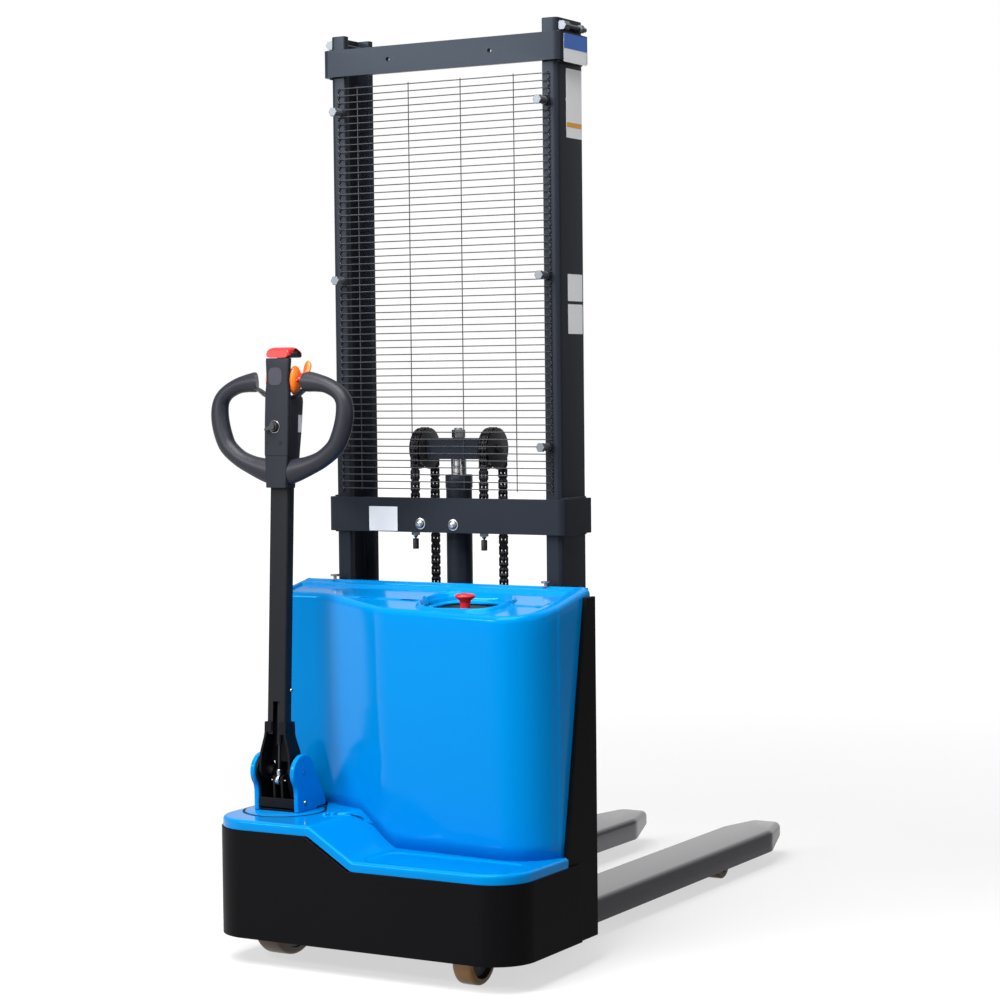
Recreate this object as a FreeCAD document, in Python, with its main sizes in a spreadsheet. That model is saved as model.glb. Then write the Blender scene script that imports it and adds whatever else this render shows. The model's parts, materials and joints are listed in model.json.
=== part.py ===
import FreeCAD, Part
import os
import re
import Sketcher

# Walk-behind electric stacker with a single-stage mast and an offset steering tiller.
# Millimetres, +Z up.  While it is drawn, X = 0 is the middle of the mast, Y = 0 is the operator's
# face of the mast rails and Y grows towards the fork tips.  Every finished piece is then shifted
# so that the origin lies on the floor under the middle of the whole machine.

# ---------------------------------------------------------------- driving dimensions
DIMS = {
    # mast
    "mast_height": 2090, "mast_half": 299, "mast_foot": 30,
    "rail_depth": 122, "rail_flange": 40, "rail_flange_thick": 18, "rail_web": 10,
    "rail_round": 12,
    "strap_thick": 14, "strap_round": 17, "strap_wing": 116, "strap_hole": 5,
    "top_strap_drop": 95, "top_strap_tall": 62, "mid_strap_low": 946, "mid_strap_tall": 79,
    "shelf_up": 20, "shelf_thick": 16,
    # wire guard
    "wire": 3, "guard_stand": 12, "guard_margin": 19, "wire_pitch": 16, "guard_inset": 31,
    "guard_bar_first": 48, "guard_bar_last": 76, "guard_bars": 4,
    # chassis
    "chassis_half": 394, "chassis_front": 403, "skirt_wall": 4, "skirt_low": 62,
    "skirt_seam": 95, "skirt_round": 95,
    "deck_low": 257, "deck_high": 325, "deck_rim": 22, "deck_wall": 6, "deck_inset": 3,
    "deck_back": 60, "slope_from_axis": 157, "slope_run": 111, "slope_lap": 8,
    "floor_thick": 6, "plate_thick": 10, "plate_gap": 6, "plate_rear": 10,
    "plate_top": 814, "plate_top_deep": 42, "plate_low_deep": 150, "plate_slot": 2,
    "wall_thick": 8, "wall_top": 790,
    "beam_tall": 80, "beam_deep": 60, "beam_low": 30,
    # hood
    "hood_inset": 19, "hood_back": 17, "hood_top": 834, "hood_slope": 0.2, "hood_wall": 5,
    "toe_room": 125, "hood_mid_in": 42, "swing_room": 104, "hood_corner": 100,
    "hood_lean": 28, "hood_mid_lean": 20, "hood_recess_lean": 2, "hood_bend": 136,
    "hood_turn": 340, "hood_small_corner": 25, "hood_lip": 20,
    "recess_in": 233, "recess_y": 158, "recess_half": 121, "recess_round": 78,
    "recess_deep": 34, "tray_wall": 3, "stop_round": 21, "stop_tall": 12, "stop_rise": 6,
    # support legs and load rollers
    "fork_inset": 98, "leg_wide": 110, "leg_tall": 46, "leg_low": 30, "leg_wall": 10,
    "leg_nose": 31, "roller_back": 359, "roller_radius": 39, "roller_wide": 70,
    "roller_side_gap": 5, "axle_radius": 10,
    # forks
    "fork_wide": 148, "fork_top": 93, "fork_low": 37, "fork_wall": 5, "fork_tip": 1340,
    "fork_tip_wide": 78, "fork_taper": 135, "fork_nose_rise": 25, "fork_nose_solid": 60,
    "shank_thick": 16, "shank_tall": 400,
    # carriage
    "carriage_plate": 14, "carriage_gap": 9, "carriage_low": 84, "carriage_tall": 430,
    "guide_radius": 38, "guide_wide": 24, "guide_up": 46, "guide_down": 64,
    "cross_gap": 6, "cross_thick": 37, "cross_tall": 80, "cross_up": 6, "cross_in": 20,
    "chain_bar_tall": 25, "chain_lug": 16,
    # lift cylinder, crosshead and chains
    "cylinder_y": 60, "tube_radius": 31, "tube_top": 1076, "tube_collar": 30, "tube_foot": 12,
    "tube_foot_half": 60, "rod_radius": 18, "rod_low": 100, "tube_floor": 60,
    "crosshead_up": 60, "crosshead_tall": 48, "crosshead_deep": 40, "nut_tall": 18,
    "chain_x": 91, "chain_radius": 44, "chain_thick": 12, "chain_wide": 22,
    "anchor_up": 64, "anchor_down": 40, "anchor_radius": 6, "nut_radius": 9,
    "chain_lug_up": 246,
    # steered drive unit
    "steer_in": 108, "steer_back": 158, "drive_radius": 93, "drive_wide": 62, "tyre_thick": 16,
    "drive_unit_half": 34, "gearbox_wide": 24, "crown_gap": 4, "crown_thick": 8,
    "carrier_z": 205, "carrier_thick": 10, "neck_radius": 44, "bay_radius": 109,
    "turntable_radius": 90, "turn_gap": 6, "motor_radius": 62, "turntable_thick": 8,
    # tiller
    "pivot_out": 8, "pivot_z": 415, "tiller_lean": 2.7, "cheek_outer": 60, "cheek_thick": 12,
    "lobe_radius": 41, "lobe_out": 1.5, "cheek_front": 27.5, "cheek_neck": 374,
    "cheek_rear": 84.5, "pin_radius": 8, "pin_proud": 4, "yoke_slot": 22, "yoke_gap": 6,
    "yoke_drop": 18, "yoke_back": 14, "yoke_collar": 28, "yoke_wall": 3, "yoke_press": 7,
    "arm_wide": 50, "arm_deep": 27, "arm_wall": 3, "arm_up": 85, "arm_long": 558,
    "arm_front": 28, "slot_long": 74, "slot_wide": 18,
    "head_wide": 64, "head_deep": 42, "head_front": 43, "head_tall": 288, "head_round": 8,
    "button_tall": 25, "button_deep": 58, "loop_half": 193, "loop_deep": 34,
    "shell_top": 204, "shell_bend": 13, "shell_high": 24, "shell_waist": 63, "shell_low": 13,
    "loop_round": 60, "head_rib": 6, "head_wall": 12, "rocker_back": 26, "rocker_drop": 18,
    "rocker_lobe": 23, "rocker_tip": 12,
    "spring_out": 12, "spring_up": 225, "spring_radius": 7, "spring_long": 150,
    "spring_rod": 4, "spring_rod_long": 185, "eye_down": 19.6, "eye_pin": 4, "eye_gap": 5,
    "eye_wall": 4, "eye_wide": 12, "lug_gap": 7.5, "lug_thick": 7,
    # caster
    "caster_in": 148, "caster_back": 118, "caster_trail": 27, "caster_radius": 57.5,
    "caster_wide": 46, "caster_top": 148, "well_half": 100, "caster_side_gap": 7,
    "caster_leg": 5, "caster_axle": 6, "race_radius": 30, "crown_radius": 34,
    # heavy blocks in the battery bay
    "battery_tall": 230, "battery_deep": 165, "pump_gap": 10.5, "pump_wide": 96,
    "pump_tall": 240, "pump_deep": 120, "block_gap": 4,
    # fits
    "rod_fit": 0.05, "seat_gap": 0.3,
}
# sizes and places that follow others
TIED = {
    "top_strap_low": "(mast_height - top_strap_drop)",
    "guard_half": "(mast_half - guard_inset)",
    "guard_low": "(mid_strap_low + mid_strap_tall + guard_margin)",
    "wire_count": "floor((top_strap_low - guard_margin - guard_low) / wire_pitch)",
    "guard_bar_gap": "((2 * guard_half - guard_bar_first - guard_bar_last) / (guard_bars - 1))",
    "fork_centre": "(mast_half - fork_inset)",
    "leg_out": "(fork_centre + leg_wide / 2)",
    "roller_y": "(fork_tip - roller_back)",
    "leg_end": "(roller_y + leg_nose)",
    "chain_low": "(carriage_low + chain_lug_up)",
    "crosshead_z": "(tube_top + crosshead_up)",
    "anchor_top": "(mid_strap_low + anchor_up)",
    "anchor_low": "(mid_strap_low - anchor_down)",
    "beam_front": "(rail_depth + cross_gap)",
    "beam_back": "(beam_front + cross_thick)",
    "fork_face": "(beam_back + shank_thick)",
    "carriage_out": "(mast_half - rail_flange - carriage_gap)",
    "steer_x": "(chassis_half - steer_in)",
    "steer_y": "(chassis_front - steer_back)",
    "slope_start": "(steer_x - slope_from_axis)",
    "slope_end": "(slope_start - slope_run)",
    "caster_x": "(chassis_half - caster_in)",
    "caster_y": "(chassis_front - caster_back)",
    "wheel_y": "(caster_y + caster_trail)",
    "fork_x": "(caster_wide / 2 + caster_side_gap)",
    "caster_crown": "(caster_top - 2 * floor_thick - seat_gap)",
    "side_in": "(chassis_half - skirt_wall)",
    "front_in": "(chassis_front - skirt_wall)",
    "plate_in": "(chassis_half - plate_gap - plate_thick)",
    "pan_left": "(steer_x - bay_radius)",
    "bay_floor": "(beam_low + beam_tall)",
    "hood_half": "(chassis_half - hood_inset)",
    "hood_front": "(chassis_front - toe_room)",
    "hood_mid": "(hood_front - hood_mid_in)",
    "hood_recess": "(steer_y - swing_room)",
    "recess_x": "(hood_half - recess_in)",
    "recess_top": "(hood_top - hood_slope * (recess_y - hood_back))",
    "pump_left": "(pan_left - pump_gap)",
    "battery_left": "(pump_left - pump_wide - pump_gap)",
    "battery_right": "(hood_half - hood_lip - 2 * deck_wall)",
    "race_top": "(carrier_z + carrier_thick + turn_gap)",
    "crown_low": "(2 * drive_radius + crown_gap)",
    "neck_top": "(deck_high - deck_wall)",
    "foot_top": "(neck_top + turntable_thick)",
    "pivot_y": "(steer_y + pivot_out)",
    "arm_face": "(pivot_y + arm_front)",
    "arm_low": "(pivot_z + arm_up)",
    "arm_top": "(arm_low + arm_long)",
    "head_face": "(pivot_y + head_front)",
    "head_top": "(arm_top + head_tall)",
    "head_back": "(head_face - head_deep)",
    "loop_mid": "(head_face - head_deep / 2)",
    "yoke_half": "(cheek_outer - cheek_thick - yoke_gap)",
    "spring_y": "(pivot_y + spring_out)",
    "spring_z": "(pivot_z + spring_up)",
    "eye_z": "(pivot_z - eye_down)",
    "shift_x": "((steer_x + loop_half - chassis_half) / 2)",
    "shift_y": "((chassis_front - fork_tip) / 2)",
}

doc = FreeCAD.newDocument("ElectricStacker")
dims = doc.addObject("Spreadsheet::Sheet", "Dims")
for row, (word, value) in enumerate(DIMS.items(), start=1):
    dims.set(f"A{row}", word)
    dims.set(f"B{row}", str(value))
    dims.setAlias(f"B{row}", word)
doc.recompute()

parts = []


# ---------------------------------------------------------------- small helpers
def bind(text):
    """An expression in plain dimension words, with each word pointed at its sheet cell."""
    text = str(text)
    while any(word in TIED for word in re.findall(r"[a-z_]+", text)):
        text = re.sub(r"[a-z_]+", lambda m: TIED.get(m.group(0), m.group(0)), text)
    return re.sub(r"[a-z_]+", lambda m: "Dims." + m.group(0) if m.group(0) in DIMS else m.group(0),
                  text)


def number(text):
    """The value that an expression in dimension words has now."""
    found = dims.evalExpression(re.sub(r"Dims\.", "", bind(text)))
    return float(getattr(found, "Value", found))


def size(obj, **fields):
    """Binds each named property of an object to its expression."""
    for field, text in fields.items():
        obj.setExpression(field.replace("__", ".Base."), bind(text))


def finish(obj, label, lean=False):
    """Names a finished piece and moves it into the machine's own frame."""
    obj.Label = label
    turn = FreeCAD.Rotation(FreeCAD.Vector(1, 0, 0), -number("tiller_lean") if lean else 0)
    obj.Placement = FreeCAD.Placement(FreeCAD.Vector(), turn)
    y = "shift_y"
    z = "0"
    if lean:
        y += " - pivot_y + pivot_y * cos(tiller_lean) - pivot_z * sin(tiller_lean)"
        z = "pivot_z - pivot_z * cos(tiller_lean) - pivot_y * sin(tiller_lean)"
    size(obj, Placement__x="shift_x", Placement__y=y, Placement__z=z)
    parts.append(obj)
    return obj


def sketch(body, plane, loops, offset="0"):
    """A sketch on one of the body's own planes.  A loop is a list of (across, up) corners, or
    ("circle", across, up, radius); every corner is held by its two dimensions."""
    support = [f for f in body.Origin.OriginFeatures if f.Role == plane + "_Plane"][0]
    drawing = body.newObject("Sketcher::SketchObject", body.Name + "Sketch")
    drawing.AttachmentSupport = [(support, "")]
    drawing.MapMode = "FlatFace"
    drawing.setExpression("AttachmentOffset.Base.z", bind(offset))
    for loop in loops:
        first = drawing.GeometryCount
        if loop[0] == "circle":
            x, y, r = (number(text) for text in loop[1:])
            drawing.addGeometry(Part.Circle(FreeCAD.Vector(x, y, 0), FreeCAD.Vector(0, 0, 1), r))
            held = (("DistanceX", (-1, 1, first, 3), x), ("DistanceY", (-1, 1, first, 3), y),
                    ("Radius", (first,), r))
            for (kind, where, value), text in zip(held, loop[1:]):
                index = drawing.addConstraint(Sketcher.Constraint(kind, *where, value))
                drawing.setExpression(f"Constraints[{index}]", bind(text))
            continue
        spots = [FreeCAD.Vector(number(x), number(y), 0) for x, y in loop]
        count = len(spots)
        for i in range(count):
            drawing.addGeometry(Part.LineSegment(spots[i], spots[(i + 1) % count]))
        for i in range(count):
            drawing.addConstraint(Sketcher.Constraint(
                "Coincident", first + i, 2, first + (i + 1) % count, 1))
        for i, (x, y) in enumerate(loop):
            for kind, text, value in (("DistanceX", x, spots[i].x), ("DistanceY", y, spots[i].y)):
                index = drawing.addConstraint(Sketcher.Constraint(kind, -1, 1, first + i, 1, value))
                drawing.setExpression(f"Constraints[{index}]", bind(text))
    return drawing


def far_face(plane, low, high):
    """The sketch offset and length of a pad between two places along the plane's normal.
    The XZ plane looks towards -Y, so there the pad starts at the higher place."""
    return (f"-({high})" if plane == "XZ" else low), f"({high}) - ({low})"


def pad(body, plane, loops, low, high):
    offset, length = far_face(plane, low, high)
    drawing = sketch(body, plane, loops, offset)
    feature = body.newObject("PartDesign::Pad", body.Name + "Pad")
    feature.Profile = drawing
    size(feature, Length=length)
    body.Tip = feature
    doc.recompute()
    return feature


def pocket(body, plane, loops, low, high):
    """Takes away the prism between two places; it has to take something."""
    before = body.Shape.Volume
    offset, length = far_face(plane, low, high)
    drawing = sketch(body, plane, loops, offset)
    feature = body.newObject("PartDesign::Pocket", body.Name + "Pocket")
    feature.Profile = drawing
    feature.Reversed = True
    size(feature, Length=length)
    body.Tip = feature
    doc.recompute()
    if body.Shape.Volume >= before - 1:
        raise RuntimeError(body.Name + " pocket takes nothing")
    return feature


def round_edges(body, radius, picked):
    """Rounds the edges of the body for which picked(middle, direction) is true."""
    base = body.Tip
    names = []
    for index, edge in enumerate(base.Shape.Edges, start=1):
        start, end = edge.FirstParameter, edge.LastParameter
        if picked(edge.valueAt((start + end) / 2), edge.tangentAt((start + end) / 2)):
            names.append(f"Edge{index}")
    feature = body.newObject("PartDesign::Fillet", body.Name + "Fillet")
    feature.Base = (base, names)
    size(feature, Radius=radius)
    body.Tip = feature
    doc.recompute()
    return feature


def upright(x=None, y=None, near=2.0):
    """Picks vertical edges, all of them or those beside a place in plan."""
    def picked(spot, way):
        if abs(way.z) < 0.99:
            return False
        return ((x is None or abs(spot.x - number(x)) < near)
                and (y is None or abs(spot.y - number(y)) < near))
    return picked


def across(x, z, near=2.0):
    """Picks the edge that runs front to back beside a place in the front view."""
    return lambda spot, way: (abs(way.y) > 0.99 and abs(spot.x - number(x)) < near
                              and abs(spot.z - number(z)) < near)


def new_body(name):
    return doc.addObject("PartDesign::Body", name)


def rect(x0, y0, x1, y1):
    return [(x0, y0), (x1, y0), (x1, y1), (x0, y1)]


def prism(label, plane, loops, low, high, lean=False):
    body = new_body("".join(word.title() for word in label.split("_")))
    pad(body, plane, loops, low, high)
    return finish(body, label, lean)


def cylinder(radius, length, x, y, z, axis="z"):
    """A round bar that starts at (x, y, z) and runs along an axis."""
    bar = doc.addObject("Part::Cylinder", "Bar")
    turn = {"z": FreeCAD.Rotation(), "x": FreeCAD.Rotation(FreeCAD.Vector(0, 1, 0), 90),
            "y": FreeCAD.Rotation(FreeCAD.Vector(1, 0, 0), -90)}[axis]
    bar.Placement = FreeCAD.Placement(FreeCAD.Vector(), turn)
    size(bar, Radius=radius, Height=length, Placement__x=x, Placement__y=y, Placement__z=z)
    return bar


def block(x, y, z, long, deep, tall):
    """A rectangular block from its lowest corner."""
    solid = doc.addObject("Part::Box", "Block")
    size(solid, Length=long, Width=deep, Height=tall,
         Placement__x=x, Placement__y=y, Placement__z=z)
    return solid


def fuse(*shapes):
    joined = doc.addObject("Part::MultiFuse", "Joined")
    joined.Shapes = list(shapes)
    joined.Refine = True
    return joined


def cut(base, *tools):
    """Takes the tools out of the base."""
    left = doc.addObject("Part::Cut", "Cut")
    left.Base = base
    left.Tool = tools[0] if len(tools) == 1 else fuse(*tools)
    left.Refine = True
    return left


def group(*shapes):
    """Like pieces that share a node without touching."""
    together = doc.addObject("Part::Compound", "Group")
    together.Links = list(shapes)
    return together


SIDES = (("left", "-1"), ("right", "1"))


def span(side, near, far):
    """The low and high x of a piece that lies between two distances from the middle."""
    return (near, far) if side == "right" else (f"-({far})", f"-({near})")


# ---------------------------------------------------------------- mast rails
# Rolled C channels, open towards each other, that the carriage's guide rollers run in.
for side, s in SIDES:
    rail = new_body("Rail" + side.title())
    inner = f"{s} * (mast_half - rail_flange)"
    web = f"{s} * (mast_half - rail_web)"
    outer = f"{s} * mast_half"
    pad(rail, "XY", [[(outer, "0"), (inner, "0"), (inner, "rail_flange_thick"),
                      (web, "rail_flange_thick"), (web, "rail_depth - rail_flange_thick"),
                      (inner, "rail_depth - rail_flange_thick"), (inner, "rail_depth"),
                      (outer, "rail_depth")]], "mast_foot", "mast_height")
    round_edges(rail, "rail_round", upright(x=outer))
    round_edges(rail, "rail_round / 3", upright(x=inner))
    finish(rail, "mast_rail_" + side)


# ---------------------------------------------------------------- straps
# Flat bars bent round the front and the outer sides of both rails, and welded to them.
def strap(name, low, tall):
    out = "(mast_half + strap_thick)"
    body = new_body(name)
    pad(body, "XY", [[(f"-{out}", "-strap_thick"), (out, "-strap_thick"), (out, "strap_wing"),
                      ("mast_half", "strap_wing"), ("mast_half", "0"), ("-mast_half", "0"),
                      ("-mast_half", "strap_wing"), (f"-{out}", "strap_wing")]],
        low, f"{low} + {tall}")
    round_edges(body, "strap_round", upright(y="-strap_thick"))
    return body


top_strap = strap("TopStrap", "top_strap_low", "top_strap_tall")
pocket(top_strap, "XZ", [("circle", f"{s} * guard_half / 2", "top_strap_low + top_strap_tall / 2",
                          "strap_hole") for side, s in SIDES], "-strap_thick - 1", "1")
finish(top_strap, "top_strap")
mid_strap = strap("MidStrap", "mid_strap_low", "mid_strap_tall")
# the shelf behind it that the chain anchors hang from
anchor_y = "(cylinder_y - chain_radius)"
pad(mid_strap, "XY", [rect("-chain_x - tube_collar", "0", "chain_x + tube_collar",
                           "cylinder_y - tube_radius - strap_hole")],
    "mid_strap_low + shelf_up", "mid_strap_low + shelf_up + shelf_thick")
pocket(mid_strap, "XY", [("circle", f"{s} * chain_x", anchor_y, "anchor_radius + seat_gap")
                         for side, s in SIDES],
       "mid_strap_low + shelf_up", "mid_strap_low + shelf_up + shelf_thick")
finish(mid_strap, "mid_strap")

# ---------------------------------------------------------------- wire guard
# Welded wire panel; each cross wire is bent back at its ends to meet the rails' faces.
guard = new_body("MeshGuard")
bars = [rect(f"-guard_half + guard_bar_first + {i} * guard_bar_gap - wire / 2", "-guard_stand",
             f"-guard_half + guard_bar_first + {i} * guard_bar_gap + wire / 2",
             "-guard_stand + wire")
        for i in range(DIMS["guard_bars"])]
pad(guard, "XY", bars, "guard_low", "guard_low + (wire_count - 1) * wire_pitch + wire")
pad(guard, "XY", [[("-guard_half", "-guard_stand - wire"), ("guard_half", "-guard_stand - wire"),
                   ("guard_half + guard_stand", "-wire"), ("guard_half + guard_stand", "0"),
                   ("guard_half + guard_stand - wire", "0"),
                   ("guard_half - wire", "-guard_stand"), ("-guard_half + wire", "-guard_stand"),
                   ("-guard_half - guard_stand + wire", "0"), ("-guard_half - guard_stand", "0"),
                   ("-guard_half - guard_stand", "-wire")]],
    "guard_low", "guard_low + wire")
rows = guard.newObject("PartDesign::LinearPattern", "GuardRows")
rows.Originals = [guard.Tip]
rows.Direction = ([f for f in guard.Origin.OriginFeatures if f.Role == "Z_Axis"][0], [""])
size(rows, Occurrences="wire_count", Length="(wire_count - 1) * wire_pitch")
guard.Tip = rows
doc.recompute()
finish(guard, "mesh_guard")

# ---------------------------------------------------------------- chassis
# Foot beam across the front of the rails, deeper between the support legs; the legs and the
# side plates weld to it.
prism("foot_beam", "XZ", [[("-plate_in", "skirt_low"), ("-leg_out", "skirt_low"),
                           ("-leg_out", "beam_low"), ("leg_out", "beam_low"),
                           ("leg_out", "skirt_low"), ("plate_in", "skirt_low"),
                           ("plate_in", "bay_floor"), ("-plate_in", "bay_floor")]],
      "-beam_deep", "0")
# bulkhead behind the battery bay, in front of the rails
prism("bulkhead", "XY", [rect("-plate_in", "-wall_thick", "plate_in", "0")],
      "bay_floor", "wall_top")
# floor pan of the battery bay, cut away over the caster and beside the right side plate
floor = new_body("FloorPan")
pad(floor, "XY", [rect("-pan_left", "-front_in", "side_in", "-beam_deep")],
    "skirt_low", "skirt_low + floor_thick")
round_edges(floor, "skirt_round - skirt_wall", upright(x="side_in", y="-front_in"))
well = ("caster_x - well_half", "-caster_y - well_half", "caster_x + well_half",
        "-caster_y + well_half")
pocket(floor, "XY", [rect(*well)], "skirt_low", "skirt_low + floor_thick")
pocket(floor, "XY", [rect("plate_in - seat_gap", "-plate_low_deep - plate_slot",
                          "chassis_half", "-beam_deep + 1")],
       "skirt_low", "skirt_low + floor_thick")
finish(floor, "floor_pan")
# pressed well over the caster, which hangs from its roof
caster_well = new_body("CasterWell")
pad(caster_well, "XY", [rect(*well)], "skirt_low", "caster_top + floor_thick")
pocket(caster_well, "XY", [rect(well[0] + " + floor_thick", well[1] + " + floor_thick",
                                well[2] + " - floor_thick", well[3] + " - floor_thick")],
       "skirt_low", "caster_top")
finish(caster_well, "caster_well")

# side plates beside the battery bay, cut on a slope at the front
for side, s in SIDES:
    low, high = span(side, "plate_in", "chassis_half - plate_gap")
    prism("side_plate_" + side, "YZ",
          [[("-plate_low_deep", "skirt_low"), ("-plate_rear", "skirt_low"),
            ("-plate_rear", "plate_top"), ("-plate_rear - plate_top_deep", "plate_top"),
            ("-plate_low_deep", "deck_low")]], low, high)

# skirt, one steel strip bent round the front corners
skirt = new_body("Skirt")
pad(skirt, "XY", [[("-chassis_half", "-chassis_front"), ("chassis_half", "-chassis_front"),
                   ("chassis_half", "-skirt_seam"), ("side_in", "-skirt_seam"),
                   ("side_in", "-front_in"), ("-side_in", "-front_in"),
                   ("-side_in", "-skirt_seam"), ("-chassis_half", "-skirt_seam")]],
    "skirt_low", "deck_high - deck_rim")
round_edges(skirt, "skirt_round", upright(y="-chassis_front"))
round_edges(skirt, "skirt_round - skirt_wall", upright(y="-front_in"))
pocket(skirt, "XZ", [[("-slope_start", "deck_high - deck_rim"),
                      ("-slope_end", "deck_low - deck_rim"),
                      ("chassis_half + 1", "deck_low - deck_rim"),
                      ("chassis_half + 1", "deck_high"), ("-slope_start", "deck_high")]],
       "-chassis_front", "0")
finish(skirt, "skirt")


# moulded deck cover: high platform round the tiller, a ramp, and the low step, open underneath
def deck_form(name, inset):
    """The cover's outer form, or its hollow when everything is drawn in by the wall."""
    half = f"(chassis_half - deck_inset - {inset})"
    front = f"(-chassis_front + deck_inset + {inset})"
    lap = f"(slope_lap - {inset} / 2)"
    form = new_body(name)
    pad(form, "XZ", [[(f"-{half}", "deck_low - deck_rim"), (half, "deck_low - deck_rim"),
                      (half, f"deck_low - {inset}"), (f"-slope_end + {lap}", f"deck_low - {inset}"),
                      (f"-slope_start + {lap}", f"deck_high - {inset}"),
                      (f"-{half}", f"deck_high - {inset}")]], front, "-deck_back")
    round_edges(form, f"skirt_round - deck_inset - {inset}", upright(y=front, near=0.5))
    return form


deck_skin = deck_form("DeckSkin", "0")
pocket(deck_skin, "XZ", [[("-chassis_half", "deck_low - deck_rim - 1"),
                          ("-slope_end", "deck_low - deck_rim - 1"),
                          ("-slope_end", "deck_low - deck_rim"),
                          ("-slope_start", "deck_high - deck_rim"),
                          ("-chassis_half", "deck_high - deck_rim")]], "-chassis_front", "0")
bay = new_body("BayOpening")
pad(bay, "XY", [[("-hood_half + hood_lip", "0"),
                 ("-hood_half + hood_lip", "-hood_recess + hood_lip"),
                 ("-hood_half + hood_bend + hood_lip / 2", "-hood_recess + hood_lip"),
                 ("-hood_half + hood_turn", "-hood_mid + hood_lean + hood_lip / 2"),
                 ("hood_half - hood_lip", "-hood_front + hood_lean + hood_lip / 2"),
                 ("hood_half - hood_lip", "0")]],
    "deck_low - deck_rim - 1", "deck_high + 1")
round_edges(bay, "hood_corner - hood_lip", upright(
    x="hood_half - hood_lip", y="-hood_front + hood_lean + hood_lip / 2"))
plate_slots = [block(x0, "-plate_low_deep - plate_slot", "deck_low - 2 * deck_rim",
                     "plate_thick + plate_gap + seat_gap", "plate_low_deep", "6 * deck_rim")
               for x0 in ("-chassis_half", "plate_in - seat_gap")]
finish(cut(deck_skin, deck_form("DeckHollow", "deck_wall"), bay, *plate_slots,
           cylinder("turntable_radius + turn_gap", "3 * deck_rim", "-steer_x", "-steer_y",
                    "deck_high - 2 * deck_rim")), "deck_cover")


# glossy moulded hood over the battery bay, open underneath and behind, leaning out at the top
def hood_form(name, inset):
    """The hood's outer form, or the hollow in it when everything is drawn in by the wall."""
    plan_body = new_body(name + "Plans")
    levels = (("deck_low", "hood_recess_lean", "hood_mid_lean", "hood_lean"),
              ("hood_top + deck_rim", "0", "0", "0"))
    plans = []
    for level, lean_left, lean_mid, lean_front in levels:
        plans.append(sketch(plan_body, "XY", [[
            (f"-hood_half + {inset}", "-hood_back"),
            (f"-hood_half + {inset}", f"-hood_recess + {lean_left} + {inset}"),
            ("-hood_half + hood_bend", f"-hood_recess + {lean_left} + {inset}"),
            ("-hood_half + hood_turn", f"-hood_mid + {lean_mid} + {inset}"),
            (f"hood_half - {inset}", f"-hood_front + {lean_front} + {inset}"),
            (f"hood_half - {inset}", "-hood_back")]], level))
    loft = doc.addObject("Part::Loft", name + "Loft")
    loft.Sections = plans
    loft.Solid = True
    loft.Ruled = True
    form = new_body(name)
    form.BaseFeature = loft
    doc.recompute()
    round_edges(form, f"hood_corner - {inset}", upright(
        x=f"hood_half - {inset}", y=f"-hood_front + hood_lean / 2 + {inset}", near=20))
    round_edges(form, "1.2 * hood_corner", upright(x="-hood_half + hood_bend", near=20))
    round_edges(form, "1.2 * hood_corner", upright(x="-hood_half + hood_turn", near=20))
    round_edges(form, "hood_small_corner", upright(x=f"-hood_half + {inset}",
                                                   y=f"-hood_recess + {inset}", near=10))
    pocket(form, "YZ", [[("0", f"hood_top + hood_slope * hood_back - {inset}"),
                         ("0", "hood_top + 2 * deck_rim + 1"),
                         ("-chassis_front", "hood_top + 2 * deck_rim + 1"),
                         ("-chassis_front",
                          f"hood_top - hood_slope * (chassis_front - hood_back) - {inset}")]],
           "-chassis_half", "chassis_half")
    return form


hood_skin = hood_form("HoodSkin", "0")
pocket(hood_skin, "XZ", [[("-chassis_half", "deck_low - 1"),
                          ("-slope_end + slope_lap", "deck_low - 1"),
                          ("-slope_end + slope_lap", "deck_low"),
                          ("-slope_start + slope_lap", "deck_high"),
                          ("-chassis_half", "deck_high")]], "-chassis_front", "0")


def oval(name, inset, low, high):
    """The upright oval of the recess in the hood's top, drawn in by the inset."""
    body = new_body(name)
    pad(body, "XY", [rect(f"recess_x - recess_half + {inset}", f"-recess_y - recess_round + {inset}",
                          f"recess_x + recess_half - {inset}", f"-recess_y + recess_round - {inset}")],
        low, high)
    round_edges(body, f"recess_round - {inset} - 1", upright())
    return body


finish(cut(hood_skin, hood_form("HoodHollow", "hood_wall"),
           oval("RecessHole", "0", "recess_top - recess_half", "recess_top + recess_half")),
       "hood")
# black tub let into the hood's top, with the red mushroom of the emergency stop on its floor
tub = oval("TrayTub", "seat_gap", "recess_top - recess_deep - tray_wall", "recess_top + deck_rim")
pocket(tub, "YZ", [[(f"-recess_y {way} (recess_round + 5)", f"recess_top + {rise}")
                    for way, rise in (("+", "recess_half"), ("-", "recess_half"),
                                      ("-", "(-1 - hood_slope * (recess_round + 5))"),
                                      ("+", "(-1 + hood_slope * (recess_round + 5))"))]],
       "recess_x - recess_half", "recess_x + recess_half")
finish(cut(tub, oval("TrayHollow", "(seat_gap + tray_wall)", "recess_top - recess_deep",
                     "recess_top + recess_half")), "stop_tray")
finish(fuse(cylinder("stop_round * 0.6", "recess_deep + stop_rise + 1", "recess_x",
                     "-recess_y", "recess_top - recess_deep"),
            cylinder("stop_round", "stop_tall", "recess_x", "-recess_y",
                     "recess_top + stop_rise")),
       "stop_button")

# heavy blocks that stand on the foot beam's level in the closed bay
prism("battery", "XY", [rect("-battery_left", "-wall_thick - block_gap - battery_deep",
                             "battery_right", "-wall_thick - block_gap")],
      "bay_floor", "bay_floor + battery_tall")
prism("pump_unit", "XY", [rect("-pump_left", "-wall_thick - block_gap - pump_deep",
                               "-pump_left + pump_wide", "-wall_thick - block_gap")],
      "bay_floor", "bay_floor + pump_tall")

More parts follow.
